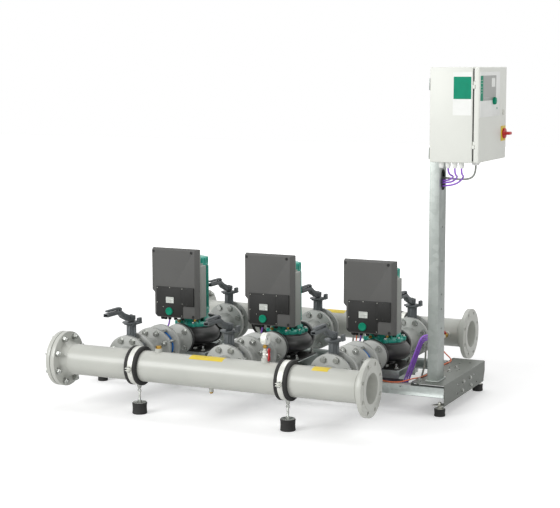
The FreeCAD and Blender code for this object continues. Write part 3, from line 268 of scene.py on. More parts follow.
# each finish: colour and the colour it drifts to, how wide the drift is, roughness from and to,
# grain size and depth, and what the surface is
looks = {
    "headerPaint": dict(colour=(193, 194, 187), drift=(182, 184, 177), cloud=3.0, rough=(0.30, 0.40),
        grain=420, depth=0.00006, coat=0.12),
    "branchSteel": dict(colour=(178, 180, 176), drift=(160, 162, 158), cloud=9.0, rough=(0.36, 0.50),
        grain=300, depth=0.00010, metal=0.15),
    "valveCast": dict(colour=(94, 99, 101), drift=(80, 84, 86), cloud=14.0, rough=(0.42, 0.58),
        grain=220, depth=0.00022),
    "liner": dict(colour=(34, 34, 34), drift=(46, 46, 45), cloud=22.0, rough=(0.60, 0.75),
        grain=500, depth=0.00006),
    "castBlack": dict(colour=(36, 36, 35), drift=(50, 50, 48), cloud=10.0, rough=(0.36, 0.52),
        grain=260, depth=0.00028, coat=0.10),
    "tealPaint": dict(colour=(24, 152, 132), drift=(38, 170, 150), cloud=12.0, rough=(0.28, 0.42),
        grain=260, depth=0.00018, coat=0.15),
    "coverPlastic": dict(colour=(85, 85, 83), drift=(79, 79, 77), cloud=5.0, rough=(0.46, 0.56),
        grain=900, depth=0.00008),
    "panelPlastic": dict(colour=(48, 48, 47), drift=(43, 43, 42), cloud=6.0, rough=(0.50, 0.60),
        grain=900, depth=0.00006, shine=0.25),
    "sidePlastic": dict(colour=(156, 159, 153), drift=(148, 151, 145), cloud=6.0, rough=(0.44, 0.56),
        grain=900, depth=0.00008),
    "greenPlastic": dict(colour=(4, 142, 110), drift=(2, 132, 102), cloud=30.0, rough=(0.46, 0.56),
        grain=800, depth=0.00004, shine=0.2),
    "displayPane": dict(colour=(225, 228, 222), drift=(214, 218, 212), cloud=20.0, rough=(0.10, 0.16),
        grain=800, depth=0.00001, coat=0.4),
    "blackSteel": dict(colour=(30, 31, 31), drift=(42, 43, 42), cloud=16.0, rough=(0.40, 0.55),
        grain=320, depth=0.00012),
    "rubber": dict(colour=(30, 30, 29), drift=(40, 40, 39), cloud=18.0, rough=(0.66, 0.82),
        grain=520, depth=0.00012),
    "bandSteel": dict(colour=(226, 227, 220), drift=(214, 215, 208), cloud=20.0, rough=(0.34, 0.46),
        grain=600, depth=0.00003, metal=0.35),
    "zincBright": dict(colour=(208, 208, 200), drift=(186, 187, 178), cloud=30.0, rough=(0.22, 0.36),
        grain=600, depth=0.00003, metal=0.75),
    "boltSteel": dict(colour=(196, 198, 194), drift=(168, 170, 166), cloud=40.0, rough=(0.18, 0.30),
        grain=700, depth=0.00003, metal=0.85),
    "stainless": dict(colour=(190, 191, 188), drift=(172, 173, 170), cloud=12.0, rough=(0.24, 0.36),
        grain=500, depth=0.00004, metal=0.8),
    "cabinetPaint": dict(colour=(229, 231, 224), drift=(222, 224, 217), cloud=2.5, rough=(0.40, 0.48),
        grain=700, depth=0.00007),
    "whitePlastic": dict(colour=(240, 241, 238), drift=(232, 234, 230), cloud=14.0, rough=(0.36, 0.46),
        grain=700, depth=0.00004),
    "greyPane": dict(colour=(164, 166, 162), drift=(156, 158, 154), cloud=8.0, rough=(0.30, 0.40),
        grain=700, depth=0.00002),
    "yellowPlastic": dict(colour=(226, 200, 52), drift=(214, 188, 44), cloud=16.0, rough=(0.38, 0.48),
        grain=700, depth=0.00004),
    "redPlastic": dict(colour=(198, 32, 36), drift=(180, 26, 30), cloud=24.0, rough=(0.30, 0.42),
        grain=700, depth=0.00004),
    "bluePlastic": dict(colour=(10, 116, 200), drift=(6, 102, 184), cloud=24.0, rough=(0.34, 0.46),
        grain=600, depth=0.00004),
    "brass": dict(colour=(196, 160, 78), drift=(170, 132, 56), cloud=40.0, rough=(0.24, 0.40),
        grain=500, depth=0.00004, metal=0.9),
    "purpleSheath": dict(colour=(166, 112, 222), drift=(152, 98, 208), cloud=20.0, rough=(0.32, 0.42),
        grain=600, depth=0.00003),
    "greySheath": dict(colour=(158, 162, 154), drift=(146, 150, 142), cloud=20.0, rough=(0.36, 0.48),
        grain=600, depth=0.00003),
    "orangeSheath": dict(colour=(228, 118, 76), drift=(212, 104, 62), cloud=20.0, rough=(0.36, 0.48),
        grain=600, depth=0.00003),
}
finishes = {}


def newMaterial(name):
    material = bpy.data.materials.new(name)
    material.use_nodes = True
    return material


def addNode(tree, kind, values={}):
    node = tree.nodes.new("ShaderNode" + kind)
    for socket, value in values.items():
        node.inputs[socket].default_value = value
    return node


# each wire: from a node's output to another node's input
def wire(tree, *wires):
    for source, output, target, socket in wires:
        tree.links.new(source.outputs[output], target.inputs[socket])


# paint, plastic, rubber and turned metal: a slow drift of colour, uneven gloss and a fine grain
def makeFinish(name, look):
    finishes[name] = newMaterial(name)
    tree = finishes[name].node_tree
    shader = tree.nodes["Principled BSDF"]
    spots = addNode(tree, "TexCoord")
    cloud = addNode(tree, "TexNoise", {"Scale": look["cloud"], "Detail": 4})
    ramp = addNode(tree, "ValToRGB")
    low, high = ramp.color_ramp.elements
    low.position, high.position = 0.32, 0.68
    low.color, high.color = linear(look["drift"]), linear(look["colour"])
    smooth, dull = look["rough"]
    gloss = addNode(tree, "MapRange", {"To Min": smooth, "To Max": dull})
    grain = addNode(tree, "TexNoise", {"Scale": look["grain"], "Detail": 2})
    bump = addNode(tree, "Bump", {"Strength": 0.6, "Distance": look["depth"]})
    wire(tree, (spots, "Object", cloud, "Vector"), (spots, "Object", grain, "Vector"),
        (cloud, "Fac", ramp, "Fac"), (ramp, "Color", shader, "Base Color"),
        (cloud, "Fac", gloss, "Value"), (gloss, "Result", shader, "Roughness"),
        (grain, "Fac", bump, "Height"), (bump, "Normal", shader, "Normal"))
    shader.inputs["Metallic"].default_value = look.get("metal", 0)
    shader.inputs["Coat Weight"].default_value = look.get("coat", 0)
    shader.inputs["Specular IOR Level"].default_value = look.get("shine", 0.5)


# zinc-coated sheet: crystals of three greys, each with a gloss of its own
zincSheet = {"light": (205, 212, 209), "middle": (188, 195, 192), "dark": (170, 177, 174), "crystals": 90,
    "rough": (0.30, 0.46), "metal": 0.45, "streaks": 14, "blend": 0.55}


def makeZincSheet(name, look, stretch=(1, 1, 1)):
    finishes[name] = newMaterial(name)
    tree = finishes[name].node_tree
    shader = tree.nodes["Principled BSDF"]
    spots = addNode(tree, "TexCoord")
    crystals = addNode(tree, "TexVoronoi", {"Scale": look["crystals"]})
    ramp = addNode(tree, "ValToRGB")
    low, high = ramp.color_ramp.elements
    low.color, high.color = linear(look["dark"]), linear(look["light"])
    ramp.color_ramp.elements.new(0.5).color = linear(look["middle"])
    streaks = addNode(tree, "TexNoise", {"Scale": look["streaks"], "Detail": 5})
    stretched = addNode(tree, "Mapping", {"Scale": stretch})
    blend = addNode(tree, "Mix")
    blend.data_type = "FLOAT"
    blend.inputs["Factor"].default_value = look["blend"]
    smooth, dull = look["rough"]
    gloss = addNode(tree, "MapRange", {"To Min": smooth, "To Max": dull})
    grey = addNode(tree, "RGBToBW")
    wire(tree, (spots, "Object", crystals, "Vector"), (spots, "Object", stretched, "Vector"),
        (stretched, "Vector", streaks, "Vector"), (crystals, "Color", grey, "Color"),
        (grey, "Val", blend, "A"), (streaks, "Fac", blend, "B"), (blend, "Result", ramp, "Fac"),
        (ramp, "Color", shader, "Base Color"), (blend, "Result", gloss, "Value"),
        (gloss, "Result", shader, "Roughness"))
    shader.inputs["Metallic"].default_value = look["metal"]


for finishName, look in looks.items():
    makeFinish(finishName, look)
makeZincSheet("zincSheet", zincSheet)
# painted shade in part: the column's copy is darker than the sheet, a grey between its lit face and its
# shaded face
makeZincSheet("zincColumnShaded", dict(zincSheet, light=(184, 190, 186), middle=(168, 174, 170),
    dark=(150, 156, 152), crystals=40, metal=0.8), (6, 6, 60))
# painted shade: a darker copy of the same zinc sheet for the end plates and the cable duct, set to how dark
# their upward faces look under the studio light
makeZincSheet("zincShadedDeck", dict(zincSheet, light=(124, 128, 122), middle=(108, 112, 106),
    dark=(92, 96, 90), metal=0.6))
print("finishes ready:", len(finishes))


def paint(piece, finish):
    piece.data.materials.clear()
    piece.data.materials.append(finishes[finish])


def dress(piece, body, finish, slotName, *nodes):
    paint(piece, finish)
    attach(piece, body)
    if nodes:
        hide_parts(*nodes)


# one model, copied to each pump with a mesh of its own; without a body name it stays with the frame
def atEachPump(model, finish, slotName, *nodes, body=None):
    for number, x in enumerate(layout["pumpX"], 1):
        twin = copyOf(model, (x, 0, 0))
        twin.name = f"{model.name}{number}"
        numbered = [node.format(number) for node in nodes]
        dress(twin, body.format(number) if body else "frame", finish, slotName, *numbered)
    bpy.data.objects.remove(model)


# which CAD nodes take each finish; a name with {} stands for one node at each pump
nodeFinish = {
    "headerPaint": ["suction_manifold", "discharge_manifold", "open_end_flanges", "blind_flanges"],
    "branchSteel": ["suction_spools", "reducers"],
    "stainless": ["check_valve_bodies", "check_flap_{}", "pump_rotor_{}"],
    "valveCast": ["valve_bodies", "suction_{}_lever", "discharge_{}_lever"],
    "castBlack": ["pump_casings"],
    "tealPaint": ["motor_brackets", "motor_housings"],
    "coverPlastic": ["controller_covers"],
    "sidePlastic": ["controller_housings"],
    "displayPane": ["controller_displays"],
    "zincSheet": ["end_plates", "base_rails", "pump_supports"],
    # the deck's copy of the zinc sheet is darker: painted shade
    "zincShadedDeck": ["cable_duct"],
    # the column's copy is darker too: in part painted shade
    "zincColumnShaded": ["column"],
    "zincBright": ["clamp_bands", "foot_hardware", "door_lock"],
    "blackSteel": ["pump_plates", "gauge_pointer", "suction_{}_latch", "discharge_{}_latch"],
    "rubber": ["clamp_inlays", "rubber_feet"],
    "cabinetPaint": ["cabinet_body", "cabinet_door"],
    "whitePlastic": ["cabinet_modules", "cable_glands"],
    "redPlastic": ["main_switch_handle", "gauge_cock_lever", "sensor_cock_lever"],
    "greenPlastic": ["operating_dial", "controller_knob_{}"],
    "brass": ["brass_fittings"],
    "boltSteel": ["instruments"],
    "purpleSheath": ["signal_leads"],
    "greySheath": ["supply_lead"],
    "orangeSheath": ["sensor_lead"],
}
painted = {}
for finish, names in nodeFinish.items():
    for name in names:
        for number in (1, 2, 3):
            painted[name.format(number)] = finish
for node, finish in painted.items():
    paint(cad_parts[node], finish)
print("frame painted:", len(painted), "nodes")

# the leads: gland, loop under the cabinet, column, duct, controller; the last one starts at the sensor
lead = {"width": 0.008, "easing": 0.065, "longRun": 0.2, "lengths": (2.75, 2.25, 1.76),
    "supplyWidth": 0.009, "supplyLength": 1.79, "sensorWidth": 0.006, "sensorLength": 1.27}
signalRoutes = [
    [(0.8335, -0.253, 1.117), (0.8335, -0.253, 1.091), (0.8475, -0.207, 1.078), (0.7985, -0.133, 1.055),
     (0.7675, -0.095, 1.050), (0.7135, -0.093, 1.049), (0.7135, -0.093, 0.352), (0.6695, -0.106, 0.346),
     (0.5495, -0.023, 0.093), (-0.7165, -0.023, 0.093), (-0.7125, -0.023, 0.250), (-0.6765, -0.025, 0.284),
     (-0.6765, -0.025, 0.328)],
    [(0.8635, -0.253, 1.117), (0.8635, -0.253, 1.091), (0.8635, -0.207, 1.077), (0.8155, -0.135, 1.048),
     (0.7695, -0.095, 1.040), (0.7225, -0.093, 1.039), (0.7225, -0.093, 0.342), (0.6695, -0.093, 0.336),
     (0.5575, -0.013, 0.093), (-0.2065, -0.013, 0.093), (-0.2025, -0.013, 0.250), (-0.1665, -0.025, 0.284),
     (-0.1665, -0.025, 0.328)],
    [(0.8935, -0.253, 1.117), (0.8935, -0.253, 1.091), (0.8915, -0.207, 1.079), (0.8475, -0.151, 1.046),
     (0.8055, -0.115, 1.032), (0.7685, -0.094, 1.026), (0.7315, -0.093, 1.025), (0.7315, -0.093, 0.332),
     (0.6695, -0.080, 0.326), (0.5655, -0.003, 0.093), (0.3035, -0.003, 0.093), (0.3075, -0.003, 0.250),
     (0.3435, -0.025, 0.284), (0.3435, -0.025, 0.328)],
]
supplyRoute = [
    (0.8915, -0.045, 1.117), (0.8915, -0.045, 1.083), (0.8715, -0.053, 1.056), (0.8175, -0.071, 1.054),
    (0.7695, -0.075, 1.060), (0.7175, -0.075, 1.062), (0.7335, -0.063, 0.328), (0.6715, -0.059, 0.318),
    (0.6515, 0.005, 0.200), (0.6155, 0.007, 0.080), (0.5715, -0.011, 0.104), (0.5455, -0.037, 0.096),
    (0.2835, -0.039, 0.096), (0.2895, -0.035, 0.240), (0.3055, -0.025, 0.278), (0.3055, -0.025, 0.328)]
sensorRoute = [
    (0.5515, 0.495, 0.220), (0.5515, 0.461, 0.220), (0.5935, 0.421, 0.172), (0.6495, 0.379, 0.1483),
    (0.6695, 0.315, 0.1483), (0.6575, 0.225, 0.1483), (0.6655, 0.085, 0.1483), (0.6635, -0.025, 0.1483),
    (0.6555, -0.079, 0.1483), (0.6315, -0.119, 0.1483), (0.5935, -0.149, 0.1363), (0.5515, -0.161, 0.1333),
    (0.5075, -0.156, 0.1333), (0.4675, -0.123, 0.1353), (0.4335, -0.085, 0.112), (0.3875, -0.063, 0.096),
    (0.3135, -0.059, 0.096), (0.3135, -0.051, 0.246), (0.3235, -0.029, 0.282), (0.3235, -0.029, 0.328)]


# a point near each end of a long run keeps the run straight and its bends short
def eased(route):
    points = [Vector(route[0])]
    for start, end in zip(route, route[1:]):
        start, end = Vector(start), Vector(end)
        along = (end - start).normalized() * lead["easing"]
        if (end - start).length > lead["longRun"]:
            points += [start + along, end - along]
        points.append(end)
    return points


def makeLead(name, route, width, finish, node):
    curve = bpy.data.curves.new(name, "CURVE")
    curve.dimensions = "3D"
    curve.bevel_depth = width / 2
    curve.bevel_resolution = 5
    curve.resolution_u = 8
    curve.use_fill_caps = True
    line = curve.splines.new("NURBS")
    spots = eased(route)
    line.points.add(len(spots) - 1)
    for point, spot in zip(line.points, spots):
        point.co = (*spot, 1)
    line.use_endpoint_u = True
    line.order_u = 3
    piece = bpy.data.objects.new(name, curve)
    bpy.context.collection.objects.link(piece)
    curve.materials.append(finishes[finish])
    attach(piece, "frame")
    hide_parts(node)


for number, route in enumerate(signalRoutes):
    makeLead(f"signalLead{number + 1}", route, lead["width"], "purpleSheath",
        "signal_leads")
makeLead("supplyLead", supplyRoute, lead["supplyWidth"], "greySheath",
    "supply_lead")
makeLead("sensorLead", sensorRoute, lead["sensorWidth"], "orangeSheath",
    "sensor_lead")
print("leads laid")

# hexagon bolt along Z: head below the first face, washers, nut and thread end past the second
def makeBolt(grip, size):
    radius = size["across"] / 2 / math.cos(math.pi / 6)
    washer, thick = size["washer"], size["washerThick"]
    head = turned("head", 6, [(radius - 0.0016, -thick - size["head"]),
        (radius, -thick - size["head"] + 0.0012), (radius, -thick)])
    nutTop = grip + thick + size["nut"]
    nut = turned("nut", 6, [(radius - 0.0014, grip + thick), (radius, grip + thick + 0.0012),
        (radius, nutTop - 0.0012), (radius - 0.0016, nutTop)])
    washers = [turned("washer", 28, [(washer, z), (washer, z + thick - 0.0004),
        (washer - 0.0005, z + thick)]) for z in (-thick, grip)]
    ridges = [(size["shank"], -0.001), (size["shank"], nutTop)]
    height = nutTop
    while height < nutTop + size["tail"] - size["pitch"]:
        ridges += [(size["shank"], height), (size["shank"] * 0.9, height + size["pitch"] / 2)]
        height += size["pitch"]
    ridges += [(size["shank"], height), (size["shank"] - 0.001, height + 0.001)]
    shank = turned("shank", 14, ridges)
    return joined("bolt", [head, nut, *washers, shank])


def boltRing(name, grip, size, circle, count, first):
    spots = []
    for number in range(count):
        angle = math.radians(first + 360 * number / count)
        spots.append((circle * math.cos(angle), circle * math.sin(angle), 0))
    return smoothed(repeated(name, makeBolt(grip, size), spots))


# headers: pipe with a weld-neck flange at each end, and the blind flange that closes one
header = {"pipe": 0.06985, "bore": 0.06585, "flange": 0.125, "raised": 0.094, "hub": 0.083, "step": 0.002,
    "thick": 0.022, "neck": 0.030, "openX": 0.6555, "closedX": -0.8645, "circle": 0.105, "hole": 0.009,
    "bead": 0.0024, "weldIn": 0.053, "gasket": 0.112, "bolts": 8, "firstBolt": 22.5}
flangeBolt = {"across": 0.024, "shank": 0.008, "head": 0.010, "nut": 0.013, "washer": 0.015,
    "washerThick": 0.003, "tail": 0.008, "pitch": 0.002}


# drawn along X from the closed end to the open one, with the bolt holes cut through both flanges
def makeHeader(name, y, *nodes):
    bore, pipe, face, rim, hub = (header[key] for key in ("bore", "pipe", "raised", "flange", "hub"))
    low, high = header["closedX"], header["openX"]
    step, thick, neck = header["step"], header["thick"], header["neck"]
    profile = [(bore, low), (face, low), (face, low + step), (rim, low + step), (rim, low + thick),
        (hub, low + thick), (hub - 0.003, low + thick + 0.008), (pipe, low + thick + neck),
        (pipe, high - thick - neck), (hub - 0.003, high - thick - 0.008), (hub, high - thick),
        (rim, high - thick), (rim, high - step), (face, high - step), (face, high), (bore, high)]
    tube = turned(name, 96, profile, ring=True)
    drills = []
    for number in range(header["bolts"]):
        angle = math.radians(header["firstBolt"] + 360 / header["bolts"] * number)
        x, z = header["circle"] * math.cos(angle), header["circle"] * math.sin(angle)
        for start in (low - 0.01, high - thick - 0.01):
            drills.append(rod("drill", header["hole"], (x, z, start), (x, z, start + thick + 0.03), 24))
    cutAway(tube, joined("drills", drills))
    place(finished(tube, 0.0012), (0, y, axisZ), towardX)
    dress(tube, "frame", "headerPaint", "header_steel", *nodes)


# the weld between pipe and flange, a low bead round the pipe
def makeWeld(name, radius, x, y):
    bead = turned(name, 120, [(radius - 0.001, -0.0035), (radius + header["bead"] * 0.7, -0.002),
        (radius + header["bead"], 0), (radius + header["bead"] * 0.7, 0.002), (radius - 0.001, 0.0035)],
        ring=True)
    place(smoothed(bead, 60), (x, y, axisZ), towardX)
    return bead


# the blind flange with its gasket and bolts
def makeBlind(name, y):
    rim, face, step, thick = header["flange"], header["raised"], header["step"], header["thick"]
    disc = turned(name, 96, [(0.02, 0.0), (rim - 0.030, 0.0), (rim - 0.028, 0.0012), (rim, 0.0012),
        (rim, thick - step), (face, thick - step), (face, thick)])
    place(finished(disc, 0.0012), (header["closedX"] - thick, y, axisZ), towardX)
    dress(disc, "frame", "headerPaint", "header_steel", "blind_flanges")
    gasket = smoothed(tube(name + "Gasket", header["bore"], header["gasket"], 0, 0.0034, 96))
    dress(place(gasket, (header["closedX"] - 0.0017, y, axisZ), towardX), "frame", "liner", "rubber")
    bolts = boltRing(name + "Bolts", 2 * thick - 0.0012, flangeBolt, header["circle"], header["bolts"],
        header["firstBolt"])
    place(bolts, (header["closedX"] - thick + 0.0012, y, axisZ), towardX)
    dress(bolts, "frame", "boltSteel", "zinc")


makeHeader("suctionHeader", -headerY, "suction_manifold", "open_end_flanges")
makeHeader("dischargeHeader", headerY, "discharge_manifold")
for side, y in (("suction", -headerY), ("discharge", headerY)):
    makeBlind(f"{side}Blind", y)
    beads = [makeWeld("bead", header["pipe"], x, y) for x in (header["closedX"] + header["weldIn"],
        header["openX"] - header["weldIn"])]
    dress(joined(f"{side}HeaderWelds", beads), "frame", "headerPaint", "header_steel")
print("headers made")

# branches: weld-neck flanges on short pipes, reducers down to the pumps' ports
branch = {"pipe": 0.04445, "bore": 0.04125, "flange": 0.100, "raised": 0.069, "hub": 0.0525,
    "step": 0.002, "thick": 0.020, "neck": 0.026, "circle": 0.080, "portPipe": 0.02415,
    "portBore": 0.02155, "portFlange": 0.075, "portRaised": 0.044, "portHub": 0.032, "portThick": 0.018,
    "portNeck": 0.018, "portCircle": 0.055, "stubFoot": 0.058, "stubFace": 0.155, "spoolLength": 0.172,
    "reducerLength": 0.188}
branchBolt = dict(flangeBolt, tail=0.007)
portBolt = dict(flangeBolt, washer=0.0145, tail=0.006)


# a flange's outline from its face to its pipe; way 1 draws it towards +, -1 towards -
def flangeProfile(start, way):
    return [(branch["raised"], start), (branch["raised"], start + way * branch["step"]),
        (branch["flange"], start + way * branch["step"]),
        (branch["flange"], start + way * branch["thick"]), (branch["hub"], start + way * branch["thick"]),
        (branch["pipe"], start + way * (branch["thick"] + branch["neck"]))]


def portProfile(start, way):
    return [(branch["portPipe"], start + way * (branch["portThick"] + branch["portNeck"])),
        (branch["portHub"], start + way * branch["portThick"]),
        (branch["portFlange"], start + way * branch["portThick"]),
        (branch["portFlange"], start + way * branch["step"]),
        (branch["portRaised"], start + way * branch["step"]), (branch["portRaised"], start)]


# pipework turned in one outline that runs inside and out, and set down at each pump
def makePipework(name, profile, front, turn, node):
    piece = place(finished(turned(name, 64, profile, ring=True), 0.001), (0, front, axisZ), turn)
    atEachPump(piece, "branchSteel", "branch_steel", node)


def makeStub(name, y, turn, node):
    bore, foot, face = branch["bore"], branch["stubFoot"], branch["stubFace"]
    profile = [(bore, foot), (branch["pipe"], foot)] + flangeProfile(face, -1)[::-1] + [(bore, face)]
    makePipework(name, profile, y, turn, node)


def makeSpool(name, front, node):
    bore, length = branch["bore"], branch["spoolLength"]
    profile = [(bore, 0)] + flangeProfile(0, 1) + flangeProfile(length, -1)[::-1] + [(bore, length)]
    makePipework(name, profile, front, towardY, node)


# big flange, short pipe, cone and the port's small flange
def makeReducer(name, front, turn, node):
    bore, small, length = branch["bore"], branch["portBore"], branch["reducerLength"]
    profile = [(bore, 0)] + flangeProfile(0, 1) + [(branch["pipe"], 0.058),
        (branch["pipe"] - 0.003, 0.066), (branch["portPipe"] + 0.003, 0.128), (branch["portPipe"], 0.136)]
    profile += portProfile(length, -1) + [(small, length), (small, 0.130), (bore, 0.064)]
    makePipework(name, profile, front, turn, node)


makeStub("suctionStub", -headerY, towardY, "suction_manifold")
makeStub("dischargeStub", headerY, awayY, "discharge_manifold")
makeSpool("suctionSpool", -0.470, "suction_spools")
makeReducer("suctionReducer", -0.230, towardY, "reducers")
makeReducer("dischargeReducer", 0.470, awayY, "reducers")

jointPlaces = {      # name: first face, grip, bolt, circle, count, first angle, which way the nuts point
    "suctionValveBolts": (-0.538, 0.086, branchBolt, branch["circle"], 8, 22.5, 1),
    "checkValveBolts": (-0.212, 0.104, branchBolt, branch["circle"], 8, 22.5, -1),
    "dischargeValveBolts": (0.452, 0.086, branchBolt, branch["circle"], 8, 22.5, 1),
    "inletPortBolts": (-0.058, 0.032, portBolt, branch["portCircle"], 4, 45, 1),
    "outletPortBolts": (0.266, 0.032, portBolt, branch["portCircle"], 4, 45, 1),
}
for name, (face, grip, size, circle, count, first, way) in jointPlaces.items():
    ring = boltRing(name, grip, size, circle, count, first)
    atEachPump(place(ring, (0, face, axisZ), towardY if way > 0 else awayY), "boltSteel", "zinc")
print("branches made")

# check valve: a stainless ring between the flanges with a blue centring band
check = {"outer": 0.071, "bore": 0.0325, "front": -0.298, "length": 0.068, "band": 0.0755, "bandWidth": 0.007}


def makeCheckValve():
    outer, bore, length = check["outer"], check["bore"], check["length"]
    ring = turned("checkValve", 64, [(bore, 0), (outer - 0.004, 0), (outer, 0.004), (outer, 0.020),
        (outer - 0.003, 0.023), (outer - 0.003, length - 0.023), (outer, length - 0.020),
        (outer, length - 0.004), (outer - 0.004, length), (bore, length)], ring=True)
    place(finished(ring, 0.0008), (0, check["front"], axisZ), towardY)
    atEachPump(ring, "stainless", "stainless", "check_valve_bodies")
    start = length - check["bandWidth"] - 0.003
    band = tube("checkBand", outer - 0.002, check["band"], start, start + check["bandWidth"])
    place(finished(band, 0.0008), (0, check["front"], axisZ), towardY)
    atEachPump(band, "bluePlastic", "stainless")


makeCheckValve()
print("check valves made")

# butterfly valve: slate ring with neck and pad, black liner, toothed plate; lever with its trigger on top
valve = {"outer": 0.069, "inner": 0.058, "width": 0.044, "bore": 0.040, "liner": 0.0605, "lip": 0.050,
    "neck": 0.017, "neckFoot": 0.022, "neckTop": 0.145, "pad": 0.027, "padThick": 0.008, "rib": 0.0045,
    "plate": 0.042, "plateLow": 0.153, "plateThick": 0.006, "tooth": 0.003, "teeth": 29, "firstTooth": 75,
    "toothStep": 7.5, "stem": 0.008, "ear": 0.012, "earCircle": 0.074}
lever = {"half": 0.013, "stop": 0.019, "left": -0.220, "discSides": 48}


def makeValveBody(name, y):
    outer, inner, half = valve["outer"], valve["inner"], valve["width"] / 2
    ring = turned("ring", 64, [(inner, -half), (outer - 0.006, -half), (outer, -half + 0.006),
        (outer, half - 0.006), (outer - 0.006, half), (inner, half)], ring=True)
    place(ring, (0, 0, 0), towardY)
    neck = turned("neck", 32, [(valve["neckFoot"] + 0.004, outer - 0.010),
        (valve["neckFoot"], outer + 0.006), (valve["neck"], outer + 0.022),
        (valve["neck"], valve["neckTop"] - 0.012), (valve["neckFoot"], valve["neckTop"])])
    pad = valve["pad"]
    top = block("pad", (-pad, -pad * 0.8, valve["neckTop"]),
        (pad, pad * 0.8, valve["neckTop"] + valve["padThick"]), 0.002)
    rib = valve["rib"]
    ribs = [block("rib", (-pad + 0.003, -rib, outer - 0.006),
        (pad - 0.003, rib, valve["neckTop"] + 0.001), 0.001),
        block("rib", (-rib, -0.020, outer - 0.006), (rib, 0.020, valve["neckTop"] + 0.001), 0.001)]
    ears = []
    for angle in (45, 135, 225, 315):
        turn = math.radians(angle)
        x, z = valve["earCircle"] * math.cos(turn), valve["earCircle"] * math.sin(turn)
        ears.append(rod("ear", valve["ear"], (x, -half + 0.004, z), (x, half - 0.004, z), 24, 0.001))
    foot = rod("foot", 0.016, (0, 0, -outer - 0.004), (0, 0, -outer + 0.012), 24, 0.002)
    body = finished(joined(name, [ring, neck, top, foot, *ribs, *ears]), 0.0006, 1, 40)
    atEachPump(place(body, (0, y, axisZ)), "valveCast", "valve_paint", "valve_bodies")
    liner = tube(name + "Liner", valve["bore"], valve["liner"], -valve["lip"] / 2, valve["lip"] / 2)
    place(finished(liner, 0.0008), (0, y, axisZ), towardY)
    atEachPump(liner, "liner", "rubber")


# the plate the lever's trigger drops into: half round and toothed, with a stop at its other end
def makeNotchPlate(name, y):
    plateLow = valve["plateLow"]
    corners = [(0.030, -0.020), (0.030, 0.020)]
    for step in range(valve["teeth"]):
        angle = math.radians(valve["firstTooth"] + step * valve["toothStep"])
        radius = valve["plate"] - (valve["tooth"] if step % 2 else 0)
        corners.append((radius * math.cos(angle), radius * math.sin(angle)))
    plate = place(outlined("plate", corners, valve["plateThick"]), (0, 0, plateLow))
    wing = block("wing", (0.026, -0.016, plateLow), (0.050, 0.016, plateLow + 0.010), 0.002)
    post = block("post", (0.036, -0.014, plateLow + 0.006), (0.050, 0.014, plateLow + 0.028), 0.002)
    whole = place(finished(joined(name, [plate, wing, post]), 0.0008, 1, 40), (0, y, axisZ))
    atEachPump(whole, "valveCast", "valve_paint", "valve_bodies")


# the lever is drawn towards -X and then turned to point forwards, along the pipe
def makeLever(name, y, bodyName, node):
    left, half = lever["left"], lever["half"]
    corners = [(left, 0.2140), (-0.114, 0.2135), (-0.102, 0.2085), (-0.082, 0.1895), (-0.056, 0.1780),
        (-0.036, 0.1695), (-0.024, 0.1662), (lever["stop"], 0.1662), (lever["stop"], 0.1870),
        (0.004, 0.1905), (-0.014, 0.1908), (-0.030, 0.1955), (-0.050, 0.2030), (-0.072, 0.2110),
        (-0.088, 0.2210), (-0.100, 0.2280), (-0.118, 0.2292), (left, 0.2292)]
    arm = place(outlined("arm", corners, 2 * half), (0, half, 0), awayY)
    rounded(arm, 0.0020, 2, 40)
    cutAway(arm, block("hollow", (left - 0.01, -0.0095, 0.2168), (-0.122, 0.0095, 0.2262)))
    cutAway(arm, block("step", (-0.078, -half - 0.01, 0.1), (-0.024, -half + 0.0025, 0.1865)))
    cutAway(arm, block("step", (-0.078, half - 0.0025, 0.1), (-0.024, half + 0.01, 0.1865)))
    ears = [block("ear", (-0.114, side * 0.0098 - 0.0012, 0.2280),
        (-0.102, side * 0.0098 + 0.0012, 0.2375), 0.0006) for side in (-1, 1)]
    tooth = block("tooth", (-0.0975, -0.0070, 0.2270), (-0.0905, 0.0070, 0.2385), 0.0008)
    hub = rod("hub", 0.0165, (0, 0, 0.1615), (0, 0, 0.1885), 32, 0.0015)
    cap = rod("cap", 0.0075, (0, 0, 0.1880), (0, 0, 0.1930), 6, 0.0008)
    stem = rod("stem", valve["stem"], (0, 0, -0.040), (0, 0, 0.166), 20)
    disc = turned("disc", lever["discSides"], [(0.004, -0.006), (0.030, -0.005), (0.0385, -0.001),
        (0.0385, 0.001), (0.030, 0.005), (0.004, 0.006)])
    place(disc, (0, 0, 0), towardY)
    whole = smoothed(joined(name, [arm, tooth, hub, cap, stem, disc, *ears]), 40)
    place(whole, (0, y, axisZ), (0, 0, quarterTurn))
    atEachPump(whole, "valveCast", "valve_paint", node, body=bodyName)


# the latch blade on the lever's grip, with its pin
def makeTrigger(name, y, bodyName, node):
    corners = [(-0.2135, 0.2390), (-0.2115, 0.2353), (-0.1115, 0.2353), (-0.1085, 0.2300),
        (-0.0988, 0.2300), (-0.0988, 0.2385), (-0.1045, 0.2436), (-0.1120, 0.2440), (-0.2085, 0.2440),
        (-0.2135, 0.2418)]
    blade = place(outlined("blade", corners, 0.015), (0, 0.0075, 0), awayY)
    pin = rod("pin", 0.0016, (-0.1083, -0.0125, 0.2320), (-0.1083, 0.0125, 0.2320), 16, 0.0004)
    whole = finished(joined(name, [blade, pin]), 0.0010, 2, 40)
    place(whole, (0, y, axisZ), (0, 0, quarterTurn))
    atEachPump(whole, "valveCast", "black_steel", node, body=bodyName)


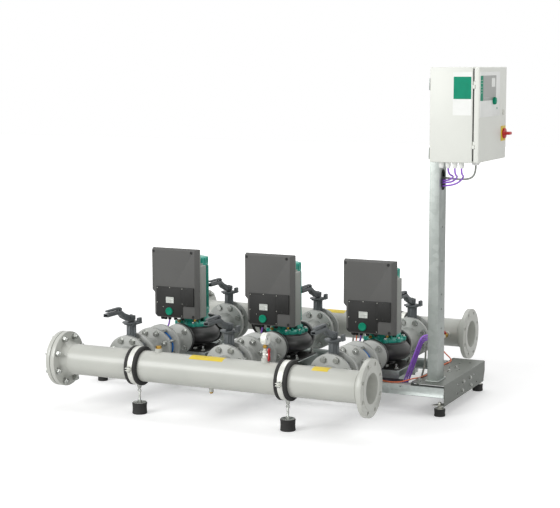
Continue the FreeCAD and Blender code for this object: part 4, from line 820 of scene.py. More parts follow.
for side, y in (("suction", -valveY), ("discharge", valveY)):
    makeValveBody(f"{side}Valve", y)
    makeNotchPlate(f"{side}NotchPlate", y)
    makeLever(f"{side}Lever", y, side + "_{}_stem", side + "_{}_lever")
    makeTrigger(f"{side}Trigger", y, side + "_{}_trigger", side + "_{}_latch")
print("butterfly valves made")

# copies of one model turned round the Z axis
def ringOf(name, model, count, first=0.0):
    twins = [copyOf(model, (0, 0, 0), (0, 0, math.radians(first + 360 * n / count))) for n in range(count)]
    bpy.data.objects.remove(model)
    return joined(name, twins)


def socketScrew(radius, height):
    head = turned("screw", 20, [(radius, 0), (radius, height * 0.8), (radius * 0.86, height)])
    cutAway(head, rod("key", radius * 0.48, (0, 0, height * 0.4), (0, 0, height * 1.5), 6))
    return smoothed(head)


# pump casing: volute, scroll, necks and foot run together as one casting, with turned flanges
pump = {"belly": 0.121, "scroll": 0.085, "scrollTube": 0.037, "port": 0.075, "portThick": 0.018,
    "front": -0.042, "rear": 0.282, "neck": 0.043, "foot": 0.042, "floor": 0.154, "top": 0.268,
    "voxel": 0.0034, "cover": 0.096}


def makeCasing():
    y, axis = pumpY, axisZ
    belly = pump["belly"]
    volute = turned("volute", 64, [(0.060, 0.178), (belly - 0.022, 0.184), (belly - 0.005, 0.199),
        (belly, axis), (belly - 0.004, 0.241), (belly - 0.016, 0.257), (pump["cover"] - 0.003, 0.267)])
    place(volute, (0, y, 0))
    deselectAll()
    bpy.ops.mesh.primitive_torus_add(major_radius=pump["scroll"], minor_radius=pump["scrollTube"],
        major_segments=72, minor_segments=24, location=(0.003, y, axis + 0.001))
    scroll = bpy.context.object
    bpy.ops.object.transform_apply(location=True)
    necks = [rod("neck", pump["neck"], (0, pump["front"] + 0.014, axis), (0, y, axis), 48),
        rod("neck", pump["neck"], (0, y, axis), (0, pump["rear"] - 0.014, axis), 48)]
    half = pump["foot"]
    foot = turned("foot", 40, [(half + 0.010, 0.158), (half, 0.170), (half, 0.200)])
    place(foot, (0, y, 0))
    sole = block("sole", (-half, y - half, pump["floor"]), (half, y + half, pump["floor"] + 0.012), 0.004)
    casting = joined("pumpCasing", [volute, scroll, *necks, foot, sole])
    change = casting.modifiers.new("casting", "REMESH")
    change.mode = "VOXEL"
    change.voxel_size = pump["voxel"]
    applyChanges(casting)
    change = casting.modifiers.new("soften", "SMOOTH")
    change.factor = 0.5
    change.iterations = 8
    applyChanges(casting)
    flanges = []
    for start, turn in ((pump["front"], towardY), (pump["rear"], awayY)):
        port = turned("port", 64, [(0.020, 0), (0.044, 0), (0.044, 0.002), (pump["port"], 0.002),
            (pump["port"], pump["portThick"]), (pump["neck"] + 0.004, pump["portThick"]),
            (pump["neck"], pump["portThick"] + 0.006), (0.020, pump["portThick"] + 0.006)])
        rounded(port, 0.0014)
        flanges.append(place(port, (0, start, axis), turn))
    lip = turned("lip", 64, [(pump["cover"] + 0.004, pump["top"] - 0.012),
        (pump["cover"] + 0.004, pump["top"]), (pump["cover"] - 0.010, pump["top"])])
    place(rounded(lip, 0.0015), (0, y, 0))
    plug = rod("plug", 0.009, (0.030, y - 0.085, 0.192), (0.040, y - 0.118, 0.186), 6, 0.001)
    whole = smoothed(joined("pumpCasing", [casting, *flanges, lip, plug]), 40)
    atEachPump(whole, "castBlack", "black_coating", "pump_casings")


# lantern between casing and motor: screwed flange, four windows, vent and test plugs
lantern = {"flange": 0.096, "low": 0.268, "foot": 0.077, "neck": 0.066, "top": 0.338, "window": 0.030,
    "ear": 0.013, "earCircle": 0.088, "screws": 8}


def makeLantern():
    y = pumpY
    low, top = lantern["low"], lantern["top"]
    shell = turned("shell", 64, [(0.056, low), (lantern["flange"] - 0.006, low),
        (lantern["flange"] - 0.006, low + 0.012), (lantern["foot"] + 0.003, low + 0.015),
        (lantern["foot"] - 0.002, low + 0.022), (lantern["neck"], top - 0.016),
        (lantern["neck"] + 0.006, top - 0.012), (lantern["neck"] + 0.006, top), (0.050, top),
        (0.050, top - 0.012), (0.056, low + 0.016)], ring=True)
    gap = lantern["window"]
    windows = []
    for angle in (45, 135, 225, 315):
        window = block("window", (0.03, -gap, low + 0.021), (0.12, gap, top - 0.018), 0.004)
        windows.append(place(window, (0, 0, 0), (0, 0, math.radians(angle))))
    cutAway(shell, joined("windows", windows))
    rounded(shell, 0.0012, 2, 40)
    ears = ringOf("ears", rod("ear", lantern["ear"], (lantern["earCircle"], 0, low),
        (lantern["earCircle"], 0, low + 0.017), 28, 0.0015), lantern["screws"], 22.5)
    ribs = ringOf("ribs", block("rib", (0.058, -0.0035, low + 0.010), (0.082, 0.0035, low + 0.030),
        0.0015), 8, 0)
    boss = rod("boss", 0.011, (-0.030, -0.078, low + 0.022), (-0.034, -0.091, low + 0.025), 28, 0.001)
    whole = place(smoothed(joined("lantern", [shell, ears, ribs, boss]), 40), (0, y, 0))
    atEachPump(whole, "tealPaint", "teal_paint", "motor_brackets")
    screws = ringOf("lanternScrews", place(socketScrew(0.0065, 0.008),
        (lantern["earCircle"], 0, low + 0.017)), lantern["screws"], 22.5)
    atEachPump(place(screws, (0, y, 0)), "boltSteel", "zinc")
    vent = [rod("vent", 0.0075, (-0.034, -0.090, low + 0.025), (-0.036, -0.100, low + 0.027), 6, 0.0008),
        rod("vent", 0.0040, (-0.036, -0.099, low + 0.027), (-0.038, -0.107, low + 0.029), 20, 0.0008),
        rod("vent", 0.0060, (0.040, -0.070, low + 0.030), (0.042, -0.080, low + 0.032), 6, 0.0008)]
    fitting = place(smoothed(joined("ventPlugs", vent)), (0, y, 0))
    atEachPump(fitting, "brass", "brass")


# motor: finned barrel with a foot flange, a ribbed cap and the neck that carries the controller
motor = {"core": 0.0655, "low": 0.338, "top": 0.612, "fins": 44, "fin": 0.0013, "finOut": 0.0712,
    "capLow": 0.572, "foot": 0.0705, "capRibs": 20, "neckHalf": 0.045, "neckFront": 0.013,
    "neckLow": 0.370, "neckTop": 0.510}
rotor = {"shaft": 0.012, "low": 0.214, "top": 0.397, "rim": 0.081, "blades": 7, "lean": 25}


def makeMotor():
    y = pumpY
    core, low, top, cap = motor["core"], motor["low"], motor["top"], motor["capLow"]
    barrel = turned("barrel", 64, [(0.060, low), (motor["foot"], low), (motor["foot"], low + 0.012),
        (core, low + 0.015), (core, cap - 0.004), (motor["finOut"] - 0.001, cap - 0.002),
        (motor["finOut"] - 0.001, cap + 0.004), (core + 0.002, cap + 0.007), (core + 0.001, top - 0.010),
        (core - 0.005, top - 0.003), (core - 0.016, top - 0.0006), (0.020, top - 0.0006)])
    rounded(barrel, 0.0012)
    fins = ringOf("fins", block("fin", (core - 0.003, -motor["fin"], low + 0.020),
        (motor["finOut"], motor["fin"], cap - 0.008), 0.0007), motor["fins"])
    capRibs = ringOf("capRibs", block("rib", (core - 0.004, -0.0026, cap + 0.006),
        (motor["finOut"] - 0.0015, 0.0026, top - 0.004), 0.0016), motor["capRibs"], 9)
    hub = rod("hub", 0.018, (0, 0, top - 0.004), (0, 0, top), 32, 0.001)
    feet = ringOf("feet", rod("lug", 0.010, (0.066, 0, low), (0.066, 0, low + 0.018), 24, 0.0015), 4, 45)
    whole = place(joined("motor", [barrel, fins, capRibs, hub, feet]), (0, y, 0))
    half = motor["neckHalf"]
    neck = block("neck", (-half, motor["neckFront"], motor["neckLow"]),
        (half, y - 0.040, motor["neckTop"]), 0.004)
    whole = smoothed(joined("motor", [whole, neck]), 40)
    atEachPump(whole, "tealPaint", "teal_paint", "motor_housings")


# shaft, collar and impeller, which turn with the motor
def makeRotor():
    rim = rotor["rim"]
    shaft = rod("shaft", rotor["shaft"], (0, 0, rotor["low"]), (0, 0, rotor["top"]), 32, 0.001)
    collar = turned("collar", 40, [(0.0125, 0.290), (0.030, 0.290), (0.030, 0.300), (0.024, 0.312),
        (0.0125, 0.312)])
    shroud = turned("shroud", 64, [(0.014, 0.236), (rim, 0.236), (rim, 0.239), (0.030, 0.241),
        (0.014, 0.252)])
    plate = turned("plate", 64, [(0.030, 0.216), (rim, 0.218), (rim, 0.221), (0.030, 0.221)])
    blades = []
    for number in range(rotor["blades"]):
        blade = block("blade", (0.030, -0.0015, 0.220), (0.080, 0.0015, 0.237))
        place(blade, turn=(0, 0, math.radians(rotor["lean"])))
        blades.append(place(blade, (0.012, -0.018, 0)))
        place(blade, turn=(0, 0, math.radians(360 / rotor["blades"] * number)))
    whole = rounded(joined("rotor", [shaft, collar, shroud, plate, *blades]), 0.0006, 1, 50)
    place(smoothed(whole), (0, pumpY, 0))
    atEachPump(whole, "stainless", "stainless", "pump_rotor_{}", body="rotor_{}")


makeCasing()
makeLantern()
makeMotor()
makeRotor()
print("pumps made")

# controller: housing, bevelled cover with screw wells, panel, terminal cover, display and knob
control = {"left": -0.132, "right": 0.126, "low": 0.328, "top": 0.671, "step": 0.463, "stepLow": 0.449,
    "inLeft": -0.118, "corner": 0.014, "back": -0.056, "flat": 0.003, "depth": 0.013, "rightBevel": 0.022,
    "topBevel": 0.009, "well": 0.0074, "wells": ((-0.1225, 0.6525), (0.088, 0.6525), (-0.109, 0.341),
    (0.095, 0.338)), "wellDeep": 0.007, "front": -0.072, "panelThick": 0.003, "knobX": -0.035,
    "knobZ": 0.360, "knob": 0.019, "knobFace": -0.0754,
    "panelScrews": ((-0.102, 0.473), (-0.033, 0.477), (0.036, 0.474), (-0.104, 0.401), (-0.069, 0.380),
    (0.036, 0.400), (0.034, 0.340)), "lidScrews": ((0.064, 0.474), (0.066, 0.399)),
    "bars": ((0.4245, -0.0135), (0.4180, -0.0300), (0.4115, -0.0135), (0.4045, -0.0220)), "fins": 18,
    "finStep": 0.012, "glands": ((-0.100, -0.025, 0.0125), (-0.082, -0.029, 0.0095),
    (-0.062, -0.025, 0.0095), (-0.030, -0.025, 0.0095), (0.010, -0.025, 0.0095))}


def makeCover():
    c = control
    corners = [(c["right"], c["low"]), (c["right"], c["top"]), (c["left"], c["top"]),
        (c["left"], c["step"]), (c["inLeft"], c["stepLow"]), (c["inLeft"], c["low"] + c["corner"]),
        (c["inLeft"] + c["corner"], c["low"])]
    cover = outlined("controllerCover", corners, c["flat"])
    activate(cover)
    bpy.ops.object.mode_set(mode="EDIT")
    pickFaces(lambda middle, normal: normal.z > 0.9)
    bpy.ops.mesh.extrude_region_move(TRANSFORM_OT_translate={"value": (0, 0, c["depth"])})
    front = c["flat"] + c["depth"] - 0.001
    pickPoints(lambda spot: spot.z > front and spot.x > c["right"] - 0.001)
    bpy.ops.transform.translate(value=(-c["rightBevel"], 0, 0))
    pickPoints(lambda spot: spot.z > front and spot.y > c["top"] - 0.001)
    bpy.ops.transform.translate(value=(0, -c["topBevel"], 0))
    bpy.ops.object.mode_set(mode="OBJECT")
    place(rounded(cover, 0.0028, 3, 20), (0, c["back"], 0), awayY)
    floor = c["front"] + c["wellDeep"]
    wells = [rod("well", c["well"], (x, c["front"] - 0.01, z), (x, floor, z), 28) for x, z in c["wells"]]
    cutAway(cover, joined("wells", wells))
    atEachPump(smoothed(cover), "coverPlastic", "cover_plastic", "controller_covers")
    heads = []
    for x, z in c["wells"]:
        heads.append(place(socketScrew(c["well"] - 0.0004, 0.005), (x, floor, z), awayY))
    atEachPump(joined("coverScrews", heads), "blackSteel", "black_steel")


def makePanel():
    c = control
    corners = [(-0.108, 0.333), (0.038, 0.333), (0.038, 0.380), (0.043, 0.388), (0.101, 0.388),
        (0.101, 0.481), (-0.108, 0.481)]
    panel = place(outlined("controllerPanel", corners, c["panelThick"]), (0, c["front"], 0), awayY)
    rounded(panel, 0.0012, 2, 40)
    frontFace = c["front"] - c["panelThick"]
    fascia = block("fascia", (-0.098, frontFace - 0.0012, 0.337), (0.030, frontFace + 0.001, 0.470), 0.001)
    lid = outlined("lid", [(0.050, 0.391), (0.101, 0.391), (0.101, 0.481), (0.042, 0.481),
        (0.042, 0.400)], 0.0052)
    place(lid, (0, frontFace + 0.0002, 0), awayY)
    rounded(lid, 0.0014, 2, 40)
    bezel = block("frame", (-0.0585, frontFace - 0.0022, 0.3965), (-0.0065, frontFace, 0.4345), 0.001)
    cutAway(bezel, block("pane", (-0.0545, frontFace - 0.01, 0.4005), (-0.0105, frontFace - 0.0012, 0.4305)))
    ringRim = tube("ringRim", c["knob"] + 0.0008, c["knob"] + 0.0035, 0, 0.0014, 48)
    place(ringRim, (c["knobX"], frontFace - 0.001, c["knobZ"]), awayY)
    whole = smoothed(joined("controllerPanel", [panel, fascia, lid, bezel, ringRim]))
    atEachPump(whole, "panelPlastic", "cover_plastic", "controller_covers")
    silver = []
    for x, z in c["panelScrews"]:
        silver.append(place(socketScrew(0.0022, 0.0016), (x, frontFace, z), awayY))
    atEachPump(joined("panelScrews", silver), "zincBright", "zinc")
    dark = []
    for x, z in c["lidScrews"]:
        dark.append(place(socketScrew(0.0030, 0.0012), (x, frontFace - 0.005, z), awayY))
    atEachPump(joined("lidScrews", dark), "blackSteel", "black_steel")


def makeDisplay():
    c = control
    frontFace = c["front"] - c["panelThick"]
    pane = block("displayPane", (-0.0545, frontFace - 0.0013, 0.4005),
        (-0.0105, frontFace + 0.0005, 0.4305), 0.0004)
    atEachPump(pane, "displayPane", "display_plastic", "controller_displays")
    bars = []
    for z, right in c["bars"]:
        bars.append(block("bar", (-0.0515, frontFace - 0.0016, z), (right, frontFace - 0.001, z + 0.0022)))
    bars.append(block("bar", (-0.0275, frontFace - 0.0016, 0.4035), (-0.0265, frontFace - 0.001, 0.4210)))
    atEachPump(joined("displayBars", bars), "greyPane", "display_plastic")


def makeKnob():
    c = control
    radius = c["knob"]
    knob = turned("controllerKnob", 48, [(radius - 0.001, 0), (radius, 0.0012), (radius, 0.0060),
        (radius - 0.0016, 0.0082), (radius - 0.0042, 0.0087), (radius - 0.0060, 0.0080), (0.002, 0.0080)])
    grips = ringOf("grips", rod("grip", 0.0008, (radius - 0.0001, 0, 0.0014),
        (radius - 0.0001, 0, 0.0064), 8), 36)
    whole = smoothed(joined("controllerKnob", [knob, grips]))
    place(whole, (c["knobX"], c["knobFace"], c["knobZ"]), awayY)
    atEachPump(whole, "greenPlastic", "green_plastic", "controller_knob_{}", body="knob_{}")


def makeHousing():
    c = control
    shell = block("controllerHousing", (c["inLeft"] + 0.001, c["back"], c["low"] + 0.002),
        (0.124, 0.013, 0.586), 0.004)
    seam = block("seam", (-0.2, c["back"] + 0.012, 0.2), (0.2, c["back"] + 0.0135, 0.8))
    cutAway(seam, block("core", (c["inLeft"] + 0.0025, -0.1, c["low"] + 0.0035), (0.1225, 0.1, 0.5845)))
    cutAway(shell, seam)
    fins = []
    for number in range(c["fins"]):
        x = -0.100 + c["finStep"] * number
        fins.append(block("fin", (x, -0.030, 0.583), (x + 0.003, 0.010, 0.594), 0.001))
    upper = block("upper", (c["inLeft"] + 0.004, c["back"], 0.575),
        (0.120, c["back"] + 0.020, c["top"] - 0.004), 0.003)
    whole = smoothed(joined("controllerHousing", [shell, upper, *fins]))
    atEachPump(whole, "sidePlastic", "grey_plastic", "controller_housings")
    sockets = []
    for x, y, thick in c["glands"]:
        sockets.append(rod("nut", thick, (x, y, 0.322), (x, y, 0.332), 6, 0.001))
        dome = turned("dome", 28, [(thick * 0.92, 0.322), (thick * 0.92, 0.314), (thick * 0.7, 0.309)])
        sockets.append(place(dome, (x, y, 0)))
    glands = smoothed(joined("controllerGlands", sockets))
    atEachPump(glands, "panelPlastic", "cover_plastic")


makeCover()
makePanel()
makeDisplay()
makeKnob()
makeHousing()
print("controllers made")

# an outline in the YZ plane, pulled up along +X
def facing(name, corners, x, thickness):
    piece = outlined(name, [(-z, y) for y, z in corners], thickness)
    return place(piece, (x, 0, 0), towardX)


# a CAD node's shape as a piece of its own, with clean flat faces to work on
def fromNode(name, node):
    deselectAll()
    piece = bpy.data.objects.new(name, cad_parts[node].data.copy())
    bpy.context.collection.objects.link(piece)
    activate(piece)
    bpy.ops.object.mode_set(mode="EDIT")
    bpy.ops.mesh.select_all(action="SELECT")
    bpy.ops.mesh.remove_doubles(threshold=0.00002)
    bpy.ops.mesh.dissolve_limited(angle_limit=math.radians(1))
    bpy.ops.object.mode_set(mode="OBJECT")
    return piece


def hexScrew(across, height, washer):
    radius = across / math.sqrt(3)
    head = turned("head", 6, [(radius, 0.001), (radius, height), (radius * 0.86, height + 0.0008)])
    collar = turned("collar", 28, [(washer, 0), (washer, 0.0014)])
    return smoothed(joined("screw", [head, collar]))


def onFloor(spots):
    return [(x, y, 0) for x, y in spots]


# the same screw set down at each spot, turned to stand on that face
def screwsAt(name, spots, turn, across=0.013, height=0.0065, washer=0.0095, finish="boltSteel"):
    screws = repeated(name, hexScrew(across, height, washer), spots, turn)
    dress(screws, "frame", finish, "zinc")


# pipe clamp: rubber inlay with a raised edge each side, band with screwed ears, cone nut, eye and buffer
clamp = {"spots": ((-0.4685, -0.675), (0.2685, -0.675), (-0.5025, 0.675), (0.3025, 0.675)),
    "inner": 0.0700, "bead": 0.0880, "half": 0.029, "band": 0.0862, "bandHalf": 0.0135, "seat": 0.0828,
    "ear": 0.104, "earLift": 0.0036, "earX": 0.0965, "nutLow": 0.115, "nutTop": 0.1350, "eye": 0.0075,
    "eyeZ": 0.1045, "rod": 0.0056, "buffer": 0.034, "bufferHigh": 0.052}


def makeClamps():
    half, bandHalf = clamp["half"], clamp["bandHalf"]
    inlay = turned("inlay", 64, [(clamp["inner"], -half), (clamp["bead"] - 0.002, -half),
        (clamp["bead"], -half + 0.003), (clamp["bead"] - 0.0004, -bandHalf - 0.002),
        (clamp["bead"] - 0.002, -bandHalf - 0.0006), (clamp["seat"], -bandHalf),
        (clamp["seat"], bandHalf), (clamp["bead"] - 0.002, bandHalf + 0.0006),
        (clamp["bead"] - 0.0004, bandHalf + 0.002), (clamp["bead"], half - 0.003),
        (clamp["bead"] - 0.002, half), (clamp["inner"], half)], ring=True)
    place(smoothed(inlay), (0, 0, axisZ), towardX)
    inlays = repeated("clampInlays", inlay, onFloor(clamp["spots"]))
    dress(inlays, "frame", "rubber", "rubber", "clamp_inlays")
    grip = bandHalf - 0.001
    band = rounded(tube("band", clamp["seat"] + 0.0004, clamp["band"], -grip, grip), 0.0008)
    place(band, (0, 0, axisZ), towardX)
    parts = [band]
    for side in (-1, 1):
        for way in (-1, 1):
            low, high = sorted((way * clamp["earLift"], way * (clamp["earLift"] + 0.003)))
            near, far = sorted((side * (clamp["seat"] + 0.001), side * clamp["ear"]))
            parts.append(block("ear", (-grip, near, axisZ + low), (grip, far, axisZ + high), 0.0012))
            near, far = sorted((side * (clamp["seat"] + 0.0006), side * (clamp["seat"] + 0.0065)))
            parts.append(block("fold", (-grip, near, axisZ + low - 0.004),
                (grip, far, axisZ + high + 0.004), 0.0018))
    nut = turned("coneNut", 32, [(0.0105, clamp["nutTop"]), (0.0105, clamp["nutTop"] - 0.008),
        (0.0075, clamp["nutLow"]), (0.003, clamp["nutLow"])])
    hardware = [nut]
    deselectAll()
    bpy.ops.mesh.primitive_torus_add(major_radius=clamp["eye"], minor_radius=0.0029, major_segments=32,
        minor_segments=12, location=(0, 0, clamp["eyeZ"]), rotation=towardY)
    eye = bpy.context.object
    bpy.ops.object.transform_apply(location=True, rotation=True)
    hardware.append(eye)
    radius = clamp["rod"]
    thread = [(radius, clamp["bufferHigh"])]
    for step in range(26):
        thread.append((radius - (0.0007 if step % 2 else 0), clamp["bufferHigh"] + 0.002 * (step + 1)))
    hardware.append(turned("thread", 20, thread))
    low = clamp["bufferHigh"]
    hardware.append(turned("lockNut", 6, [(0.0095, low + 0.0015), (0.0095, low + 0.0085),
        (0.0082, low + 0.0092)]))
    hardware.append(turned("topPlate", 40, [(0.031, low - 0.001), (0.031, low + 0.0014),
        (0.030, low + 0.0016)]))
    whole = smoothed(joined("clampBand", parts))
    bands = repeated("clampBands", whole, onFloor(clamp["spots"]))
    dress(bands, "frame", "bandSteel", "zinc", "clamp_bands")
    hardware = smoothed(joined("clampRod", hardware))
    rods = repeated("clampRods", hardware, onFloor(clamp["spots"]))
    dress(rods, "frame", "boltSteel", "zinc", "foot_hardware")
    spots = []
    for x, y in clamp["spots"]:
        spots += [(x, y - clamp["earX"], axisZ + 0.0066), (x, y + clamp["earX"], axisZ + 0.0066)]
    screwsAt("clampScrews", spots, (0, 0, 0), 0.013, 0.0055, 0.008)
    screwsAt("clampNuts", [(x, y, 2 * axisZ - z) for x, y, z in spots], (math.pi, 0, 0), 0.013, 0.006,
        0.008)
    radius = clamp["buffer"]
    rubber = turned("buffer", 56, [(radius - 0.0025, 0.0), (radius, 0.0022), (radius - 0.0012, 0.012),
        (radius - 0.0018, 0.026), (radius - 0.0012, 0.040), (radius, low - 0.003),
        (radius - 0.002, low - 0.0008)])
    smoothed(rubber)
    return repeated("buffers", rubber, onFloor(clamp["spots"]))


# feet of the base: buffer, stud, a plate in each corner and a domed nut on it
feet = {"radius": 0.0255, "high": 0.035, "spots": ((-0.9865, -0.160), (-0.9865, 0.400), (0.7775, -0.160),
    (0.7775, 0.400)), "plateLow": 0.048, "plateThick": 0.003, "plate": 0.056}


def makeFeet(buffers):
    radius, high = feet["radius"], feet["high"]
    rubber = turned("footRubber", 48, [(radius - 0.002, 0.0), (radius, 0.0018), (radius - 0.0010, 0.010),
        (radius - 0.0014, 0.018), (radius - 0.0008, 0.026), (radius, high - 0.003),
        (radius - 0.002, high - 0.001)])
    smoothed(rubber)
    rubbers = repeated("footRubbers", rubber, onFloor(feet["spots"]))
    whole = joined("rubberFeet", [buffers, rubbers])
    dress(whole, "frame", "rubber", "rubber", "rubber_feet")
    parts = [turned("disc", 40, [(radius - 0.004, high - 0.0015), (radius - 0.004, high + 0.001)]),
        turned("jamNut", 6, [(0.0105, high + 0.001), (0.0105, high + 0.0085)]),
        rod("stud", 0.005, (0, 0, high), (0, 0, 0.060), 20),
        turned("dome", 28, [(0.0115, 0.051), (0.0115, 0.0525), (0.0088, 0.0532), (0.0084, 0.0585),
        (0.006, 0.0622), (0.002, 0.0636)])]
    fitting = smoothed(joined("footFitting", parts))
    fittings = repeated("footFittings", fitting, onFloor(feet["spots"]))
    plates = []
    size, low = feet["plate"], feet["plateLow"]
    for x, wayX in ((-1.0115, 1), (0.8025, -1)):
        for y, wayY in ((-0.180, 1), (0.420, -1)):
            corners = [(x, y), (x + wayX * size, y), (x + wayX * size, y + wayY * 0.016),
                (x + wayX * 0.016, y + wayY * size), (x, y + wayY * size)]
            plate = outlined("cornerPlate", corners, feet["plateThick"])
            plates.append(place(plate, (0, 0, low)))
    whole = finished(joined("footPlates", [fittings, *plates]), 0.0006, 1, 50)
    dress(whole, "frame", "zincBright", "zinc")


makeFeet(makeClamps())
print("clamps and feet made")

# base: folded end plates with holes and slots, lipped rails, cable duct, supports and black pump plates
base = {"low": 0.048, "top": 0.145, "sheet": 0.003, "front": -0.180, "rear": 0.420, "bend": 0.004,
    "lip": 0.013, "right": 0.8055, "rightIn": 0.6455, "left": -1.0145, "leftIn": -0.9545,
    "railLow": 0.085, "railTop": 0.130, "railDeep": 0.040, "railSheet": 0.0025, "railLip": 0.008,
    "railStart": -1.0105, "railLength": 1.8115, "railSlots": (0.597, 0.240, -0.270, -0.780),
    "bead": 0.0016, "plateTop": 0.154, "deckScrews": ((0.7275, 0.116), (0.7325, 0.206), (0.661, -0.110),
    (0.661, 0.300))}
endHoles = {"slots": ((0.016, 0.110), (0.257, 0.110), (0.286, 0.069), (0.005, 0.072)),
    "screws": ((0.092, 0.109), (0.193, 0.108), (0.201, 0.070), (0.077, 0.070))}
deckSlots = ((0.700, 0.118), (0.700, 0.205), (0.757, 0.140), (0.757, 0.176), (0.716, 0.300),
    (0.757, 0.335), (0.680, -0.150))


# a hole with round ends, longer along Y, to be cut through a face that looks along X or Z
def slotCutter(spot, length, width, way):
    y = spot[1]
    reach = Vector((0.008, 0, 0)) if way == "X" else Vector((0, 0, 0.008))
    ends = []
    for end in (y - (length - width) / 2, y + (length - width) / 2):
        middle = Vector((spot[0], end, spot[2]))
        ends.append(rod("end", width / 2, middle - reach, middle + reach, 16))
    low = Vector((spot[0], y - (length - width) / 2, spot[2]))
    high = Vector((spot[0], y + (length - width) / 2, spot[2]))
    across = Vector((0, 0, width / 2)) if way == "X" else Vector((width / 2, 0, 0))
    ends.append(block("middle", low - reach - across, high + reach + across))
    return ends


def makeEndPlate(name, outer, inner):
    way = 1 if outer > inner else -1
    sheet, bend, top = base["sheet"], base["bend"], base["top"]
    corners = [(inner, top), (outer - way * bend, top), (outer - way * bend * 0.35, top - bend * 0.12),
        (outer - way * bend * 0.1, top - bend * 0.4), (outer, top - bend), (outer, base["low"]),
        (outer - way * sheet, base["low"]), (outer - way * sheet, top - bend),
        (outer - way * bend, top - sheet), (inner + way * sheet, top - sheet),
        (inner + way * sheet, top - base["lip"]), (inner, top - base["lip"])]
    plate = place(outlined(name, corners, base["rear"] - base["front"]), (0, base["rear"], 0), awayY)
    snip = facing("snip", [(0.430, 0.030), (0.396, 0.040), (0.400, 0.052), (0.420, 0.098),
        (0.430, 0.100)], outer - 0.02, 0.04)
    cutAway(plate, snip)
    cutters = []
    if way > 0:
        for y, z in endHoles["slots"]:
            cutters += slotCutter((outer, y, z), 0.016, 0.007, "X")
        for x, y in deckSlots:
            cutters += slotCutter((x, y, top), 0.012, 0.006, "Z")
    else:
        for y in (0.030, 0.210):
            cutters += slotCutter((outer, y, 0.090), 0.016, 0.007, "X")
    for cutter in cutters:
        cutAway(plate, cutter)
    return plate


def makeBase():
    plates = [makeEndPlate("columnEnd", base["right"], base["rightIn"]),
        makeEndPlate("farEnd", base["left"], base["leftIn"])]
    whole = finished(joined("endPlates", plates), 0.0006, 1, 50)
    # the end plates take the darker copy of the zinc sheet, which is painted shade
    dress(whole, "frame", "zincShadedDeck", "galvanised", "end_plates")
    screwsAt("endScrews", [(base["right"], y, z) for y, z in endHoles["screws"]], towardX, 0.013, 0.006,
        0.0105)
    screwsAt("deckScrews", [(x, y, base["top"]) for x, y in base["deckScrews"]], (0, 0, 0), 0.013, 0.008,
        0.011)
    low, top, deep, sheet = base["railLow"], base["railTop"], base["railDeep"], base["railSheet"]
    lip, bead = base["railLip"], base["bead"]
    rails = []
    for face, way in ((base["front"], 1), (base["rear"], -1)):
        inner, back = face + way * sheet, face + way * deep
        lipIn = face + way * (deep - sheet)
        corners = [(face - way * bead, low), (back, low), (back, low + lip), (lipIn, low + lip),
            (lipIn, low + sheet), (inner, low + sheet), (inner, top - sheet), (lipIn, top - sheet),
            (lipIn, top - lip), (back, top - lip), (back, top), (face, top), (face, low + 0.005),
            (face - way * bead, low + 0.0035)]
        rail = facing("rail", corners, base["railStart"], base["railLength"])
        for x in base["railSlots"]:
            cutAway(rail, block("slot", (x - 0.006, face - 0.01, 0.1205), (x + 0.006, face + 0.01, 0.1245)))
        rails.append(rail)
    cross = fromNode("cross", "base_rails")
    activate(cross)
    bpy.ops.object.mode_set(mode="EDIT")
    pickPoints(lambda spot: spot.z > 0.0851)
    bpy.ops.mesh.delete(type="VERT")
    bpy.ops.mesh.select_all(action="SELECT")
    bpy.ops.mesh.delete_loose()
    bpy.ops.object.mode_set(mode="OBJECT")
    whole = finished(joined("baseRails", [*rails, cross]), 0.0005, 1, 50)
    dress(whole, "frame", "zincSheet", "galvanised", "base_rails")
    duct = rounded(fromNode("cableDuct", "cable_duct"), 0.0005, 1, 50)
    # the duct takes the same darker copy, painted shade
    dress(duct, "frame", "zincShadedDeck", "galvanised", "cable_duct")
    supports = finished(fromNode("pumpSupports", "pump_supports"), 0.0012, 2, 50)
    dress(supports, "frame", "zincSheet", "galvanised", "pump_supports")
    corners = [(-0.109, 0.018), (-0.104, 0.013), (0.104, 0.013), (0.109, 0.018), (0.109, 0.222),
        (0.104, 0.227), (-0.104, 0.227), (-0.109, 0.222)]
    plate = place(outlined("pumpPlate", corners, 0.006), (0, 0, 0.148))
    atEachPump(finished(plate, 0.001), "castBlack", "black_steel", "pump_plates")
    spots = [(x, y, base["plateTop"]) for x in (-0.092, 0.092) for y in (0.030, 0.210)]
    spots += [(x, 0.068, base["plateTop"]) for x in (-0.030, 0.030)]
    nuts = repeated("plateNuts", hexScrew(0.017, 0.008, 0.013), spots)
    studs = [rod("stud", 0.005, (x, y, 0.160), (x, y, 0.176), 20, 0.001) for x, y, z in spots[:4]]
    whole = smoothed(joined("plateNuts", [nuts, *studs]))
    atEachPump(whole, "boltSteel", "zinc")


makeBase()
print("base made")

# column: the tube with a row of holes on one face and a black ring round the cable slot
column = {"face": 0.7535, "middle": -0.083, "holes": (0.841, 0.688, 0.537, 0.471, 0.383), "slotZ": 1.052,
    "slotHigh": 0.084, "slotWide": 0.034, "ringWidth": 0.004}


# an upright slot's outline: a half circle at the top and one at the bottom
def stadium(middle, z, wide, high):
    corners = []
    for first, run in ((0, (high - wide) / 2), (math.pi, (wide - high) / 2)):
        for step in range(13):
            angle = first + math.pi * step / 12
            corners.append((middle + wide / 2 * math.cos(angle), z + run + wide / 2 * math.sin(angle)))
    return corners


